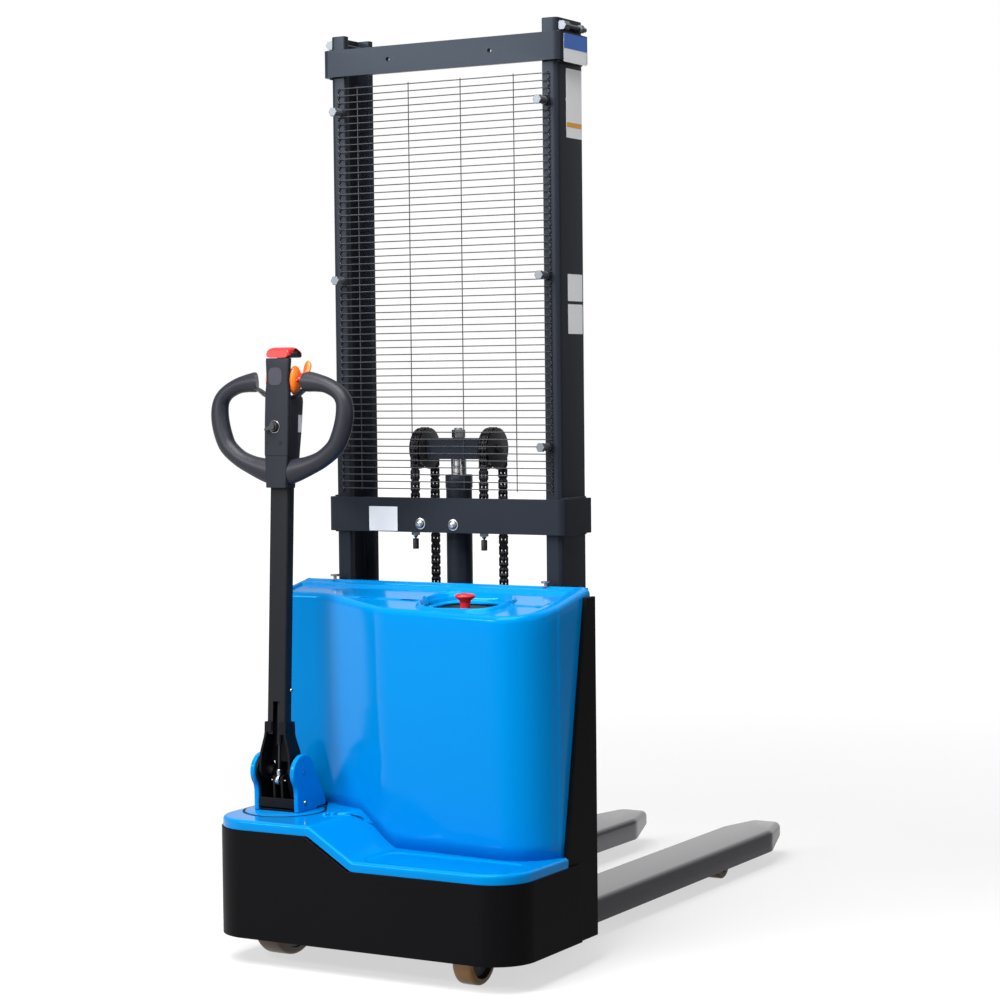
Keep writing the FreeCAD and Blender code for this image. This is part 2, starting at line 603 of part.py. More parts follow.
# plate that carries the steered drive unit, with a bearing boss and a web down to the floor pan
carrier_front = "-front_in + skirt_round"
finish(cut(fuse(block("-plate_in", carrier_front, "carrier_z", "plate_in - pan_left",
                      "front_in - skirt_round - wall_thick", "carrier_thick"),
                cylinder("neck_radius + carrier_thick", "turn_gap", "-steer_x", "-steer_y",
                         "carrier_z + carrier_thick - seat_gap"),
                block("-pan_left - floor_thick", carrier_front, "skirt_low", "floor_thick",
                      "front_in - skirt_round - beam_deep",
                      "carrier_z - skirt_low + carrier_thick")),
           cylinder("neck_radius + rod_fit", "3 * carrier_thick", "-steer_x", "-steer_y",
                    "carrier_z - carrier_thick")), "drive_carrier")

# ---------------------------------------------------------------- support legs
# Inverted channels that lie inside the forks; each carries a load roller at its end.
for side, s in SIDES:
    leg = new_body("Leg" + side.title())
    near, far = f"{s} * fork_centre - leg_wide / 2", f"{s} * fork_centre + leg_wide / 2"
    fork_back = "roller_y - roller_radius - leg_wall"
    pad(leg, "XY", [rect(near, "0", far, "leg_end")], "leg_low", "leg_low + leg_tall")
    pocket(leg, "XY", [rect(f"{near} + leg_wall", "2 * leg_wall", f"{far} - leg_wall",
                            f"{fork_back} - leg_wall")],
           "leg_low", "leg_low + leg_tall - leg_wall")
    pocket(leg, "XY", [rect(f"{s} * fork_centre - roller_wide / 2 - roller_side_gap", fork_back,
                            f"{s} * fork_centre + roller_wide / 2 + roller_side_gap",
                            "leg_end + 1")], "leg_low - 1", "leg_low + leg_tall + 1")
    pad(leg, "YZ", [("circle", "roller_y", "roller_radius", "axle_radius")], near, far)
    finish(leg, "support_leg_" + side)
    finish(cut(cylinder("roller_radius", "roller_wide", f"{s} * fork_centre - roller_wide / 2",
                        "roller_y", "roller_radius", "x"),
               cylinder("axle_radius + rod_fit", "2 * roller_wide",
                        f"{s} * fork_centre - roller_wide", "roller_y", "roller_radius", "x")),
           "load_roller_" + side)

# ---------------------------------------------------------------- carriage and forks
# Two side plates between the rails, tied by cross beams behind them.
bar_front = "(cylinder_y + tube_radius + turn_gap + 1)"
carriage_bits = []
for side, s in SIDES:
    x0 = "carriage_out - carriage_plate" if side == "right" else "-carriage_out"
    carriage_bits.append(block(x0, "rail_flange_thick", "carriage_low", "carriage_plate",
                               "beam_back - rail_flange_thick", "carriage_tall"))
    carriage_bits.append(block(f"{s} * chain_x - chain_lug / 2",
                               "cylinder_y + chain_radius - chain_thick / 2",
                               "chain_low - chain_lug - 4", "chain_lug", "chain_thick",
                               "chain_lug + 4"))
    for z in ("carriage_low + guide_up", "carriage_low + carriage_tall - guide_down"):
        x0 = "carriage_out" if side == "right" else "-carriage_out - carriage_gap - 2"
        carriage_bits.append(cylinder("axle_radius", "carriage_gap + 2", x0, "rail_depth / 2",
                                      z, "x"))
for z in ("carriage_low + cross_up", "carriage_low + carriage_tall - cross_tall"):
    carriage_bits.append(block("-mast_half + cross_in", "beam_front", z,
                               "2 * mast_half - 2 * cross_in", "cross_thick", "cross_tall"))
carriage_bits.append(block("-carriage_out", bar_front, "chain_low - chain_lug - chain_bar_tall",
                           "2 * carriage_out", f"beam_front - {bar_front}", "chain_bar_tall"))
finish(fuse(*carriage_bits), "carriage")
guides = []
for side, s in SIDES:
    for z in ("carriage_low + guide_up", "carriage_low + carriage_tall - guide_down"):
        x0 = ("mast_half - rail_flange + 2" if side == "right"
              else "-mast_half + rail_flange - 2 - guide_wide")
        guides.append(cylinder("guide_radius", "guide_wide", x0, "rail_depth / 2", z, "x"))
finish(group(*guides), "guide_rollers")

# box forks, open underneath over the support legs, with a blunt tapered nose
for side, s in SIDES:
    fork = new_body("Fork" + side.title())
    middle = f"{s} * fork_centre"
    near, far = f"{middle} - fork_wide / 2", f"{middle} + fork_wide / 2"
    nose = "fork_tip - fork_taper"
    pad(fork, "XY", [[(near, "beam_back"), (far, "beam_back"), (far, nose),
                      (f"{middle} + fork_tip_wide / 2", "fork_tip"),
                      (f"{middle} - fork_tip_wide / 2", "fork_tip"), (near, nose)]],
        "fork_low", "fork_top")
    pocket(fork, "YZ", [[(nose, "fork_low - 1"), ("fork_tip + 1", "fork_low - 1"),
                         ("fork_tip + 1", "fork_low + fork_nose_rise"), (nose, "fork_low")]],
           f"{near} - 1", f"{far} + 1")
    pocket(fork, "XY", [[(f"{near} + fork_wall", "fork_face + fork_wall"),
                         (f"{far} - fork_wall", "fork_face + fork_wall"),
                         (f"{far} - fork_wall", nose),
                         (f"{middle} + fork_tip_wide / 2 - fork_wall",
                          "fork_tip - fork_nose_solid"),
                         (f"{middle} - fork_tip_wide / 2 + fork_wall",
                          "fork_tip - fork_nose_solid"),
                         (f"{near} + fork_wall", nose)]],
           "fork_low", "fork_top - fork_wall")
    pad(fork, "XY", [rect(near, "beam_back", far, "beam_back + shank_thick")],
        "fork_top - 1", "fork_top + shank_tall")
    # the leg passes under the heel, so the heel is cut open round it
    pocket(fork, "XY", [rect(f"{near} + fork_wall", "beam_back - 1", f"{far} - fork_wall",
                             "fork_face + fork_wall + 1")],
           "fork_low", "fork_top - fork_wall")
    finish(fork, "fork_" + side)

# ---------------------------------------------------------------- lift cylinder
finish(cut(fuse(cylinder("tube_radius - 1", "tube_top - tube_collar - beam_low", "0",
                         "cylinder_y", "beam_low"),
                cylinder("tube_radius", "tube_collar", "0", "cylinder_y",
                         "tube_top - tube_collar"),
                block("-tube_foot_half", "0", "beam_low", "2 * tube_foot_half",
                      "2 * cylinder_y - axle_radius", "tube_foot")),
           cylinder("rod_radius + rod_fit", "tube_top", "0", "cylinder_y", "tube_floor")),
       "lift_tube")
head_low = "(crosshead_z - crosshead_tall / 2)"
prism("lift_rod", "XY", [("circle", "0", "cylinder_y", "rod_radius")], "rod_low", head_low)
# crosshead on top of the rod, with the axle of the chain wheels and the rod's nut
head_half = "(chain_x - chain_wide / 2 - turn_gap)"
finish(fuse(block(f"-{head_half}", "cylinder_y - crosshead_deep / 2", head_low,
                  f"2 * {head_half}", "crosshead_deep", "crosshead_tall"),
            cylinder("axle_radius", "2 * (chain_x + chain_wide)", "-chain_x - chain_wide",
                     "cylinder_y", "crosshead_z", "x"),
            cylinder("rod_radius - chain_thick / 2", "nut_tall", "0", "cylinder_y",
                     "crosshead_z + crosshead_tall / 2")), "crosshead")
wraps = []
for side, s in SIDES:
    x0 = f"{s} * chain_x - chain_wide / 2"
    finish(cut(cylinder("chain_radius - chain_thick / 2 - seat_gap", "chain_wide", x0,
                        "cylinder_y", "crosshead_z", "x"),
               cylinder("axle_radius + rod_fit", "2 * chain_wide",
                        f"{s} * chain_x - chain_wide", "cylinder_y", "crosshead_z", "x")),
           "chain_wheel_" + side)
    wraps.append(cut(cylinder("chain_radius + chain_thick / 2", "chain_wide", x0, "cylinder_y",
                              "crosshead_z", "x"),
                     cylinder("chain_radius - chain_thick / 2", "2 * chain_wide",
                              f"{s} * chain_x - chain_wide", "cylinder_y", "crosshead_z", "x"),
                     block(f"{s} * chain_x - chain_wide", "cylinder_y - 2 * chain_radius",
                           "crosshead_z - 2 * chain_radius", "2 * chain_wide",
                           "4 * chain_radius", "2 * chain_radius")))
finish(group(*wraps), "chain_wraps")

# ---------------------------------------------------------------- lifting chains
# From an anchor under the middle strap, over a wheel, and down to the carriage.
for label, y, low in (("front_chains", "cylinder_y - chain_radius", "anchor_top"),
                      ("rear_chains", "cylinder_y + chain_radius", "chain_low")):
    finish(group(*(block(f"{s} * chain_x - chain_wide / 2", f"{y} - chain_thick / 2", low,
                         "chain_wide", "chain_thick", f"crosshead_z - {low}")
                   for side, s in SIDES)), label)
finish(group(*(fuse(cylinder("anchor_radius", "anchor_top - anchor_low", f"{s} * chain_x",
                             anchor_y, "anchor_low"),
                    cylinder("nut_radius", "shelf_up", f"{s} * chain_x", anchor_y,
                             "anchor_top - shelf_up"),
                    cylinder("nut_radius", "shelf_thick", f"{s} * chain_x", anchor_y,
                             "mid_strap_low + shelf_up - shelf_thick"))
               for side, s in SIDES)), "anchor_rods")

# ---------------------------------------------------------------- drive unit and its wheel
# Motor on the carrier plate, a crown over the wheel and a gearbox beside it, all steered.
finish(fuse(cylinder("motor_radius", "neck_top - race_top", "-steer_x", "-steer_y", "race_top"),
            cylinder("neck_radius", "race_top - crown_low - 4", "-steer_x", "-steer_y",
                     "crown_low + 4"),
            block("-steer_x - neck_radius", "-steer_y - drive_unit_half", "crown_low",
                  "neck_radius + drive_wide / 2 + turn_gap + gearbox_wide",
                  "2 * drive_unit_half", "crown_thick"),
            block("-steer_x + drive_wide / 2 + turn_gap", "-steer_y - drive_unit_half",
                  "drive_radius - 2 * axle_radius", "gearbox_wide", "2 * drive_unit_half",
                  "crown_low - drive_radius + 2 * axle_radius"),
            cylinder("axle_radius", "drive_wide + 2 * turn_gap", "-steer_x - drive_wide / 2",
                     "-steer_y", "drive_radius", "x")), "drive_unit")
finish(cut(cylinder("drive_radius", "drive_wide", "-steer_x - drive_wide / 2", "-steer_y",
                    "drive_radius", "x"),
           cylinder("drive_radius - tyre_thick", "2 * drive_wide", "-steer_x - drive_wide",
                    "-steer_y", "drive_radius", "x")), "drive_tyre")
finish(cut(cylinder("drive_radius - tyre_thick", "drive_wide - crown_thick",
                    "-steer_x - drive_wide / 2 + crown_thick / 2", "-steer_y", "drive_radius",
                    "x"),
           cylinder("axle_radius + rod_fit", "2 * drive_wide", "-steer_x - drive_wide",
                    "-steer_y", "drive_radius", "x")), "drive_hub")

# ---------------------------------------------------------------- tiller foot
# Turntable on the motor, two cheeks that hold the pivot, and two lugs for the gas spring.
spring_lugs = []
cheeks = []
pins = []
for side, s in SIDES:
    lug = new_body("Lug" + side.title())
    low, high = (("-steer_x + lug_gap", "-steer_x + lug_gap + lug_thick") if side == "right"
                 else ("-steer_x - lug_gap - lug_thick", "-steer_x - lug_gap"))
    pad(lug, "YZ", [[("-spring_y - lug_thick - 9", "foot_top - 1"),
                     ("-spring_y + tube_collar", "foot_top - 1"),
                     ("-spring_y + 9", "eye_z + 10"), ("-spring_y - 11", "eye_z + 10")]],
        low, high)
    spring_lugs.append(lug)
    cheek = new_body("Cheek" + side.title())
    low = ("-steer_x + cheek_outer - cheek_thick" if side == "right"
           else "-steer_x - cheek_outer")
    pad(cheek, "YZ", [[("-pivot_y - cheek_front", "foot_top"),
                       ("-pivot_y - cheek_front", "cheek_neck"),
                       ("-pivot_y - lobe_out - 0.9 * lobe_radius", "pivot_z - lobe_radius / 2"),
                       ("-pivot_y - lobe_out", "pivot_z"),
                       ("-pivot_y - lobe_out + 0.85 * lobe_radius", "pivot_z + lobe_radius / 2"),
                       ("-pivot_y + cheek_rear", "foot_top + chain_lug"),
                       ("-pivot_y + cheek_rear", "foot_top")]],
        low, f"{low} + cheek_thick")
    pad(cheek, "YZ", [("circle", "-pivot_y - lobe_out", "pivot_z", "lobe_radius")],
        low, f"{low} + cheek_thick")
    pocket(cheek, "YZ", [("circle", "-pivot_y", "pivot_z", "pin_radius + rod_fit")],
           low, f"{low} + cheek_thick")
    cheeks.append(cheek)
    x0 = "-steer_x + yoke_slot" if side == "right" else "-steer_x - cheek_outer - pin_proud"
    pins.append(cylinder("pin_radius", "cheek_outer + pin_proud - yoke_slot", x0, "-pivot_y",
                         "pivot_z", "x"))
finish(fuse(cylinder("turntable_radius", "turntable_thick", "-steer_x", "-steer_y", "neck_top"),
            cylinder("eye_pin", "2 * lug_gap + 2 * lug_thick", "-steer_x - lug_gap - lug_thick",
                     "-spring_y - 0.9", "eye_z + 0.6", "x"), *spring_lugs), "tiller_base")
finish(group(*cheeks), "tiller_cheeks")
finish(group(*pins), "tiller_pins")

# ---------------------------------------------------------------- tiller
# Cast yoke on the pivot pins, square tube, and the control head with its two loop grips.
yoke = new_body("TillerYoke")
yoke_front, yoke_rear = "-arm_face - 4", "-pivot_y + yoke_back"
pad(yoke, "XZ", [[("-steer_x - yoke_half", "pivot_z - yoke_drop"),
                  ("-steer_x + yoke_half", "pivot_z - yoke_drop"),
                  ("-steer_x + yoke_half", "pivot_z + arm_up / 2"),
                  ("-steer_x + arm_wide / 2 + yoke_wall", "arm_low + yoke_wall"),
                  ("-steer_x + arm_wide / 2 + yoke_wall", "arm_low + yoke_collar"),
                  ("-steer_x - arm_wide / 2 - yoke_wall", "arm_low + yoke_collar"),
                  ("-steer_x - arm_wide / 2 - yoke_wall", "arm_low + yoke_wall"),
                  ("-steer_x - yoke_half", "pivot_z + arm_up / 2")]], yoke_front, yoke_rear)
# open in front from the arm down, and right through below the flare, with a boss at each pin
yoke_in = "(yoke_half - yoke_press)"
pocket(yoke, "XZ", [[(f"-steer_x - {yoke_in}", "pivot_z - yoke_drop - 1"),
                     (f"-steer_x + {yoke_in}", "pivot_z - yoke_drop - 1"),
                     (f"-steer_x + {yoke_in}", "pivot_z + arm_up / 2"),
                     ("-steer_x + arm_wide / 2 - yoke_press / 2", "arm_low"),
                     ("-steer_x - arm_wide / 2 + yoke_press / 2", "arm_low"),
                     (f"-steer_x - {yoke_in}", "pivot_z + arm_up / 2")]],
       yoke_front, yoke_rear + " - yoke_press")
pocket(yoke, "XZ", [rect(f"-steer_x - {yoke_in}", "pivot_z - yoke_drop - 1",
                         f"-steer_x + {yoke_in}", "pivot_z + arm_up / 2")],
       yoke_front, yoke_rear)
for side, s in SIDES:
    low, high = span(side, "yoke_slot", "yoke_half - yoke_press / 2")
    pad(yoke, "YZ", [("circle", "-pivot_y", "pivot_z", "pin_radius + yoke_press / 2")],
        f"-steer_x + {low}", f"-steer_x + {high}")
arm_box = ("-steer_x - arm_wide / 2", "-arm_face", "-steer_x + arm_wide / 2",
           "-arm_face + arm_deep")
pocket(yoke, "XY", [rect(*arm_box)], "arm_low", "arm_low + yoke_collar")
pocket(yoke, "YZ", [("circle", "-pivot_y", "pivot_z", "pin_radius + rod_fit")],
       "-steer_x - yoke_half - 1", "-steer_x + yoke_half + 1")
finish(yoke, "tiller_yoke", lean=True)

arm = new_body("TillerArm")
pad(arm, "XY", [rect(*arm_box)], "arm_low", "arm_top")
round_edges(arm, "arm_wall + 2", upright())
pocket(arm, "XY", [rect(arm_box[0] + " + arm_wall", arm_box[1] + " + arm_wall",
                        arm_box[2] + " - arm_wall", arm_box[3] + " - arm_wall")],
       "arm_low", "arm_top")
pocket(arm, "XZ", [rect("-steer_x - slot_wide / 2", "arm_low", "-steer_x + slot_wide / 2",
                        "arm_low + slot_long")], "-arm_face - 1", "-arm_face + arm_wall + 1")
pad(arm, "YZ", [("circle", "-spring_y", "spring_z", "eye_pin")],
    "-steer_x - arm_wide / 2", "-steer_x + arm_wide / 2")
finish(arm, "tiller_arm", lean=True)

head = new_body("HeadHousing")
pad(head, "XY", [rect("-steer_x - head_wide / 2", "-head_face", "-steer_x + head_wide / 2",
                      "-head_face + head_deep")], "arm_top", "head_top")
round_edges(head, "head_round", upright())
# back shell of the housing, deepest behind the thumb switches
pad(head, "YZ", [[("-head_back - head_round", "arm_top + yoke_wall"),
                  ("-head_back", "arm_top + yoke_wall"),
                  ("-head_back + shell_low", "arm_top + shell_waist"),
                  ("-head_back + shell_high", "arm_top + shell_top - shell_bend"),
                  ("-head_back + shell_high - shell_bend / 4", "arm_top + shell_top"),
                  ("-head_back - head_round", "arm_top + shell_top")]],
    "-steer_x - head_wide / 2 + arm_wall", "-steer_x + head_wide / 2 - arm_wall")
# above the shell only the front wall and a middle rib go on, with room for the thumb switches
for side, s in SIDES:
    low, high = span(side, "head_rib", "head_wide / 2 + 1")
    pocket(head, "XY", [rect(f"-steer_x + {low}", "-head_face + head_wall",
                             f"-steer_x + {high}", "-head_back + 1")],
           "arm_top + shell_top", "head_top")
finish(head, "head_housing", lean=True)

# Each loop ends short of the head at its top, where a thin lip under the thumb switch joins
# them: distance from the tiller's middle and height over the tube's top, both as a share of
# the loop's half width, and the corner's rounding as a share of loop_round.
LOOP_OUTER = ((0.166, 1.083, 0), (0.166, 0.021, 0), (0.311, 0.073, 1), (0.922, 0.497, 1),
              (1, 0.943, 0.467), (0.912, 1.140, 0.667), (0.580, 1.316, 1), (0.311, 1.358, 0),
              (0.311, 1.238, 0))
LOOP_INNER = ((0.197, 1.057, 0), (0.197, 0.301, 0), (0.290, 0.311, 0.2), (0.756, 0.632, 0.5),
              (0.819, 0.922, 0.333), (0.767, 1.036, 0.333), (0.539, 1.150, 0.5),
              (0.311, 1.171, 0))
grips = []
for side, s in SIDES:
    grip = new_body("Loop" + side.title())
    for make, outline, low, high in (
            (pad, LOOP_OUTER, "-loop_mid - loop_deep / 2", "-loop_mid + loop_deep / 2"),
            (pocket, LOOP_INNER, "-loop_mid - loop_deep", "-loop_mid + loop_deep")):
        corners = [(f"-steer_x + {s} * {x} * loop_half", f"arm_top + {z} * loop_half")
                   for x, z, share in outline]
        make(grip, "XZ", [corners], low, high)
        for (x, z), (_, _, share) in zip(corners, outline):
            if share:
                round_edges(grip, f"{share} * loop_round", across(x, z))
    grips.append(grip)
finish(fuse(*grips), "handle_loops", lean=True)

prism("belly_button", "XY", [rect("-steer_x - head_wide / 2 + 2", "-head_face - 2",
                                  "-steer_x + head_wide / 2 - 2",
                                  "-head_face - 2 + button_deep")],
      "head_top", "head_top + button_tall", lean=True)
# thumb switches between the front wall, the rib and the loops: a tall lobe and a rear finger
rockers = []
for side, s in SIDES:
    rocker = new_body("Rocker" + side.title())
    low, high = span(side, "head_rib", "head_wide / 2 - seat_gap")
    rocker_low = "(arm_top + shell_top + seat_gap)"
    rocker_face = "(-head_face + head_wall + seat_gap)"
    pad(rocker, "YZ", [[(rocker_face, rocker_low), (rocker_face, "head_top - rocker_drop"),
                        ("-head_back + rocker_back", "head_top - rocker_drop / 4"),
                        ("-head_back + rocker_back", "head_top - rocker_drop / 4 - rocker_lobe"),
                        ("-head_back", f"{rocker_low} + rocker_lobe"),
                        ("-head_back", f"{rocker_low} + rocker_tip"),
                        ("-head_back - head_round", rocker_low)]],
        f"-steer_x + {low}", f"-steer_x + {high}")
    rockers.append(rocker)
finish(group(*rockers), "thumb_butterfly", lean=True)

# gas spring that pushes the tiller upright: tube pinned in the arm, rod down to the foot
finish(cut(fuse(cylinder("spring_radius", "spring_long", "-steer_x", "-spring_y",
                         "spring_z - spring_long"),
                cylinder("eye_pin + eye_wall", "eye_wide", "-steer_x - eye_wide / 2",
                         "-spring_y", "spring_z", "x")),
           cylinder("eye_pin + rod_fit", "3 * eye_wide", "-steer_x - 1.5 * eye_wide",
                    "-spring_y", "spring_z", "x"),
           cylinder("spring_rod + rod_fit", "spring_long - 2 * eye_wide", "-steer_x",
                    "-spring_y", "spring_z - spring_long - 1")), "spring_tube", lean=True)
finish(cut(fuse(cylinder("spring_rod", "spring_rod_long", "-steer_x", "-spring_y", "eye_z"),
                cylinder("eye_pin + eye_gap + eye_wall", "eye_wide", "-steer_x - eye_wide / 2",
                         "-spring_y", "eye_z", "x")),
           cylinder("eye_pin + eye_gap", "3 * eye_wide", "-steer_x - 1.5 * eye_wide",
                    "-spring_y", "eye_z", "x")), "spring_rod", lean=True)

# ---------------------------------------------------------------- caster
# Swivelling fork that hangs from the well's roof and trails its wheel.
finish(fuse(block("caster_x - 1.5 * race_radius", "-caster_y - 1.3 * race_radius",
                  "caster_top - floor_thick", "3 * race_radius", "2.6 * race_radius",
                  "floor_thick"),
            cylinder("race_radius", "floor_thick", "caster_x", "-caster_y",
                     "caster_top - 2 * floor_thick")), "caster_plate")
caster_legs = [block(x0, "-wheel_y - race_radius / 2", "caster_radius - race_radius / 2",
                     "caster_leg", "race_radius",
                     "caster_crown - caster_radius + race_radius / 2")
               for x0 in ("caster_x - fork_x - caster_leg", "caster_x + fork_x")]
finish(fuse(cylinder("crown_radius", "crown_thick", "caster_x", "-caster_y",
                     "caster_crown - crown_thick"),
            block("caster_x - fork_x - caster_leg", "-wheel_y - race_radius / 2",
                  "caster_crown - crown_thick", "2 * (fork_x + caster_leg)", "2 * race_radius",
                  "crown_thick"),
            cylinder("caster_axle", "2 * (fork_x + caster_leg + 2)",
                     "caster_x - fork_x - caster_leg - 2", "-wheel_y", "caster_radius", "x"),
            *caster_legs), "caster_fork")
finish(cut(cylinder("caster_radius", "caster_wide", "caster_x - caster_wide / 2", "-wheel_y",
                    "caster_radius", "x"),
           cylinder("caster_axle + rod_fit", "2 * caster_wide", "caster_x - caster_wide",
                    "-wheel_y", "caster_radius", "x")), "caster_wheel")

# ---------------------------------------------------------------- checks and export
doc.recompute()
for obj in doc.Objects:
    if {"Invalid", "Error"} & set(obj.State):
        raise RuntimeError(f"{obj.Label} did not build")
for obj in parts:
    if obj.Shape.isNull() or not obj.Shape.isValid():
        raise RuntimeError(f"{obj.Label} has no valid shape")
os.makedirs("parts", exist_ok=True)
for obj in parts:
    obj.Shape.exportStep(os.path.join("parts", obj.Label + ".step"))
print(len(parts), "parts")
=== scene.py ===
"""Walk-behind electric stacker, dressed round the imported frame.  Lengths inside a section are
millimetres, measured as the truck was drawn: x from the middle of the mast, y from the operator's
face of the rails towards the fork tips, z from the floor."""
import json

import bmesh
import bpy
import numpy as np
from mathutils import Matrix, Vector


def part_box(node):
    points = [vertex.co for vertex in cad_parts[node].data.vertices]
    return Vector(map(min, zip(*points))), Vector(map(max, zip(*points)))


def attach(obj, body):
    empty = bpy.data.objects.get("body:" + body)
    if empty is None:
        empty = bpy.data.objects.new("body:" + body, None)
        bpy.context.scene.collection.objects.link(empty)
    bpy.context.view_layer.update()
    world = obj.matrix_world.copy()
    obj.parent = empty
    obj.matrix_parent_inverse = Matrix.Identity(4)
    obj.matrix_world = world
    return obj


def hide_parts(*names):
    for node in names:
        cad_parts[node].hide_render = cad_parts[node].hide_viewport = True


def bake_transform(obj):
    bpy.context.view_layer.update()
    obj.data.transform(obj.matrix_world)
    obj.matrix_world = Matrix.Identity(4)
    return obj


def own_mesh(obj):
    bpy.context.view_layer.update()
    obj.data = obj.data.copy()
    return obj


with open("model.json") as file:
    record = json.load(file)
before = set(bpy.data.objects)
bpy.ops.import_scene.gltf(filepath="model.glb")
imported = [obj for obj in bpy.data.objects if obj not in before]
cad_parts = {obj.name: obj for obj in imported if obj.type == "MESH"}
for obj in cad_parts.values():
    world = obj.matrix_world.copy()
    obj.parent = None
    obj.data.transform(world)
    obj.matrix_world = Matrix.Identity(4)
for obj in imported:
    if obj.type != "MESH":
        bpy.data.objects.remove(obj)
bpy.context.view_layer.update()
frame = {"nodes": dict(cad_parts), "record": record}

# ---- where things are
# The mast is the datum that the truck was drawn from: the middle between its two rails, their
# faces towards the operator, and the floor they stand on.
rail_low, rail_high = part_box("mast_rail_left")[0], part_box("mast_rail_right")[1]
datum = np.array([(rail_low[0] + rail_high[0]) / 2, rail_low[1], 0.0])


def spot(x, y, z):
    """Millimetres from the datum turned into metres in the row's frame: each divided by 1000,
    plus the datum's own place."""
    return np.stack(np.broadcast_arrays(x, y, z), -1) / 1000 + datum


# ---- camera
# Stands five and three-quarter metres off, to the right of the operator's side, level with the
# tiller's head, and looks slightly down.


def placed(name, data):
    """A new object that holds the data, linked to the scene."""
    obj = bpy.data.objects.new(name, data)
    bpy.context.collection.objects.link(obj)
    return obj


CAMERA_AT = (2960.9, -4923.4, 1279.8)
HEADING, PITCH, ROLL = np.radians([29.79, 2.60, -0.58])
ahead = np.array([-np.sin(HEADING) * np.cos(PITCH), np.cos(HEADING) * np.cos(PITCH),
                  -np.sin(PITCH)])
level = np.array([np.cos(HEADING), np.sin(HEADING), 0.0])
above = np.cross(level, ahead)
across = level * np.cos(ROLL) + above * np.sin(ROLL)
lens = bpy.data.cameras.new("camera")
SENSOR, FOCAL_SHARE = 36.0, 2523.55 / 1000
lens.sensor_width = SENSOR
lens.lens = FOCAL_SHARE * SENSOR
lens.clip_end = 60.0
camera = placed("camera", lens)
facing = Matrix(np.column_stack([across, np.cross(across, ahead), -ahead]).tolist()).to_4x4()
camera.matrix_world = Matrix.Translation(spot(*CAMERA_AT)) @ facing
bpy.context.scene.camera = camera

# ---- studio
# White seamless floor that keeps the truck's shadow, a white surround, one lamp high on the
# operator's left, a weak one from the right and a broad, soft one over the top.
bpy.context.scene.view_settings.view_transform = "Standard"


def linear(hex_code):
    """The linear light of an sRGB colour: each channel c becomes c/12.92 when it is small, and
    ((c + 0.055) / 1.055) to the power 2.4 otherwise."""
    c = np.array([int(hex_code[i:i + 2], 16) for i in (1, 3, 5)]) / 255
    light = np.where(c < 0.04045, c / 12.92, ((c + 0.055) / 1.055) ** 2.4)
    return (*light.tolist(), 1.0)


def add(tree, kind, links, **settings):
    """Adds one node; each entry of links is an input with a socket to join or a value to set."""
    node = tree.nodes.new("ShaderNode" + kind)
    for field, value in settings.items():
        setattr(node, field, value)
    for name, value in links.items():
        if isinstance(value, bpy.types.NodeSocket):
            tree.links.new(value, node.inputs[name])
        else:
            node.inputs[name].default_value = value
    return node


world = bpy.data.worlds.new("surround")
world.use_nodes = True
sky = world.node_tree
sky.nodes.clear()
ray = add(sky, "LightPath", {})
seen = add(sky, "Math", {0: ray.outputs["Is Camera Ray"],
                                   1: ray.outputs["Is Transmission Ray"]}, operation="MAXIMUM")
mirrored = add(sky, "Math", {0: seen.outputs[0], 1: ray.outputs["Is Glossy Ray"]},
               operation="MAXIMUM")
strength = add(sky, "MapRange", {"Value": mirrored.outputs[0], "To Min": 0.36,
                                           "To Max": 1.0})
# dark drapes hang to the left and right: they show in the truck's coat, never to the eye
compass = add(sky, "TexCoord", {})
toward = add(sky, "SeparateXYZ", {0: compass.outputs["Generated"]})
shifted = add(sky, "Math", {0: toward.outputs["X"], 1: 0.15}, operation="ADD")
aside = add(sky, "Math", {0: shifted.outputs[0]}, operation="ABSOLUTE")
draped = add(sky, "MapRange", {"Value": aside.outputs[0], "From Min": 0.25,
                                         "From Max": 0.57, "To Min": 1.0, "To Max": 0.36})
shaded = add(sky, "Math", {0: strength.outputs["Result"], 1: draped.outputs["Result"]},
             operation="MULTIPLY")
shown = add(sky, "Math", {0: seen.outputs[0], 1: shaded.outputs[0]},
            operation="MAXIMUM")
glow = add(sky, "Background", {"Color": (1.0, 1.0, 1.0, 1.0),
                                         "Strength": shown.outputs[0]})
add(sky, "OutputWorld", {"Surface": glow.outputs[0]})
bpy.context.scene.world = world

for name, at, aim, wide, tall, power in (
        ("key_lamp", (-2800, -4600, 2880), (0, 0, 1500), 1.6, 0.7, 135),
        ("fill_lamp", (3800, -1600, 2200), (0, 0, 900), 1.6, 3.0, 28),
        ("top_lamp", (0, -2300, 4100), (0, -200, 300), 3.0, 3.0, 335)):
    lamp = bpy.data.lights.new(name, "AREA")
    lamp.shape = "RECTANGLE"
    lamp.size, lamp.size_y = wide, tall
    lamp.energy = power
    holder = placed(name, lamp)
    way = spot(*aim) - spot(*at)
    side = np.cross(way, (0, 0, 1.0)) if name != "top_lamp" else np.array([1.0, 0, 0])
    way, side = way / np.linalg.norm(way), side / np.linalg.norm(side)
    turn = Matrix(np.column_stack([side, np.cross(side, way), -way]).tolist()).to_4x4()
    holder.matrix_world = Matrix.Translation(spot(*at)) @ turn

floor_mesh = bpy.data.meshes.new("studio_floor")
FLOOR_REACH, FLOOR_DROP = 30.0, 0.001
floor_mesh.from_pydata((np.array([(-1, -1, 0), (1, -1, 0), (1, 1, 0), (-1, 1, 0)]) * FLOOR_REACH
                        - (0, 0, FLOOR_DROP)).tolist(), [], [(0, 1, 2, 3)])
studio_floor = placed("studio_floor", floor_mesh)
# matt white paper, which to the eye is as bright as the surround
paper = bpy.data.materials.new("white_paper")
paper.use_nodes = True
sheet = paper.node_tree
sheet.nodes.clear()
sheet_light = add(sheet, "LightPath", {})
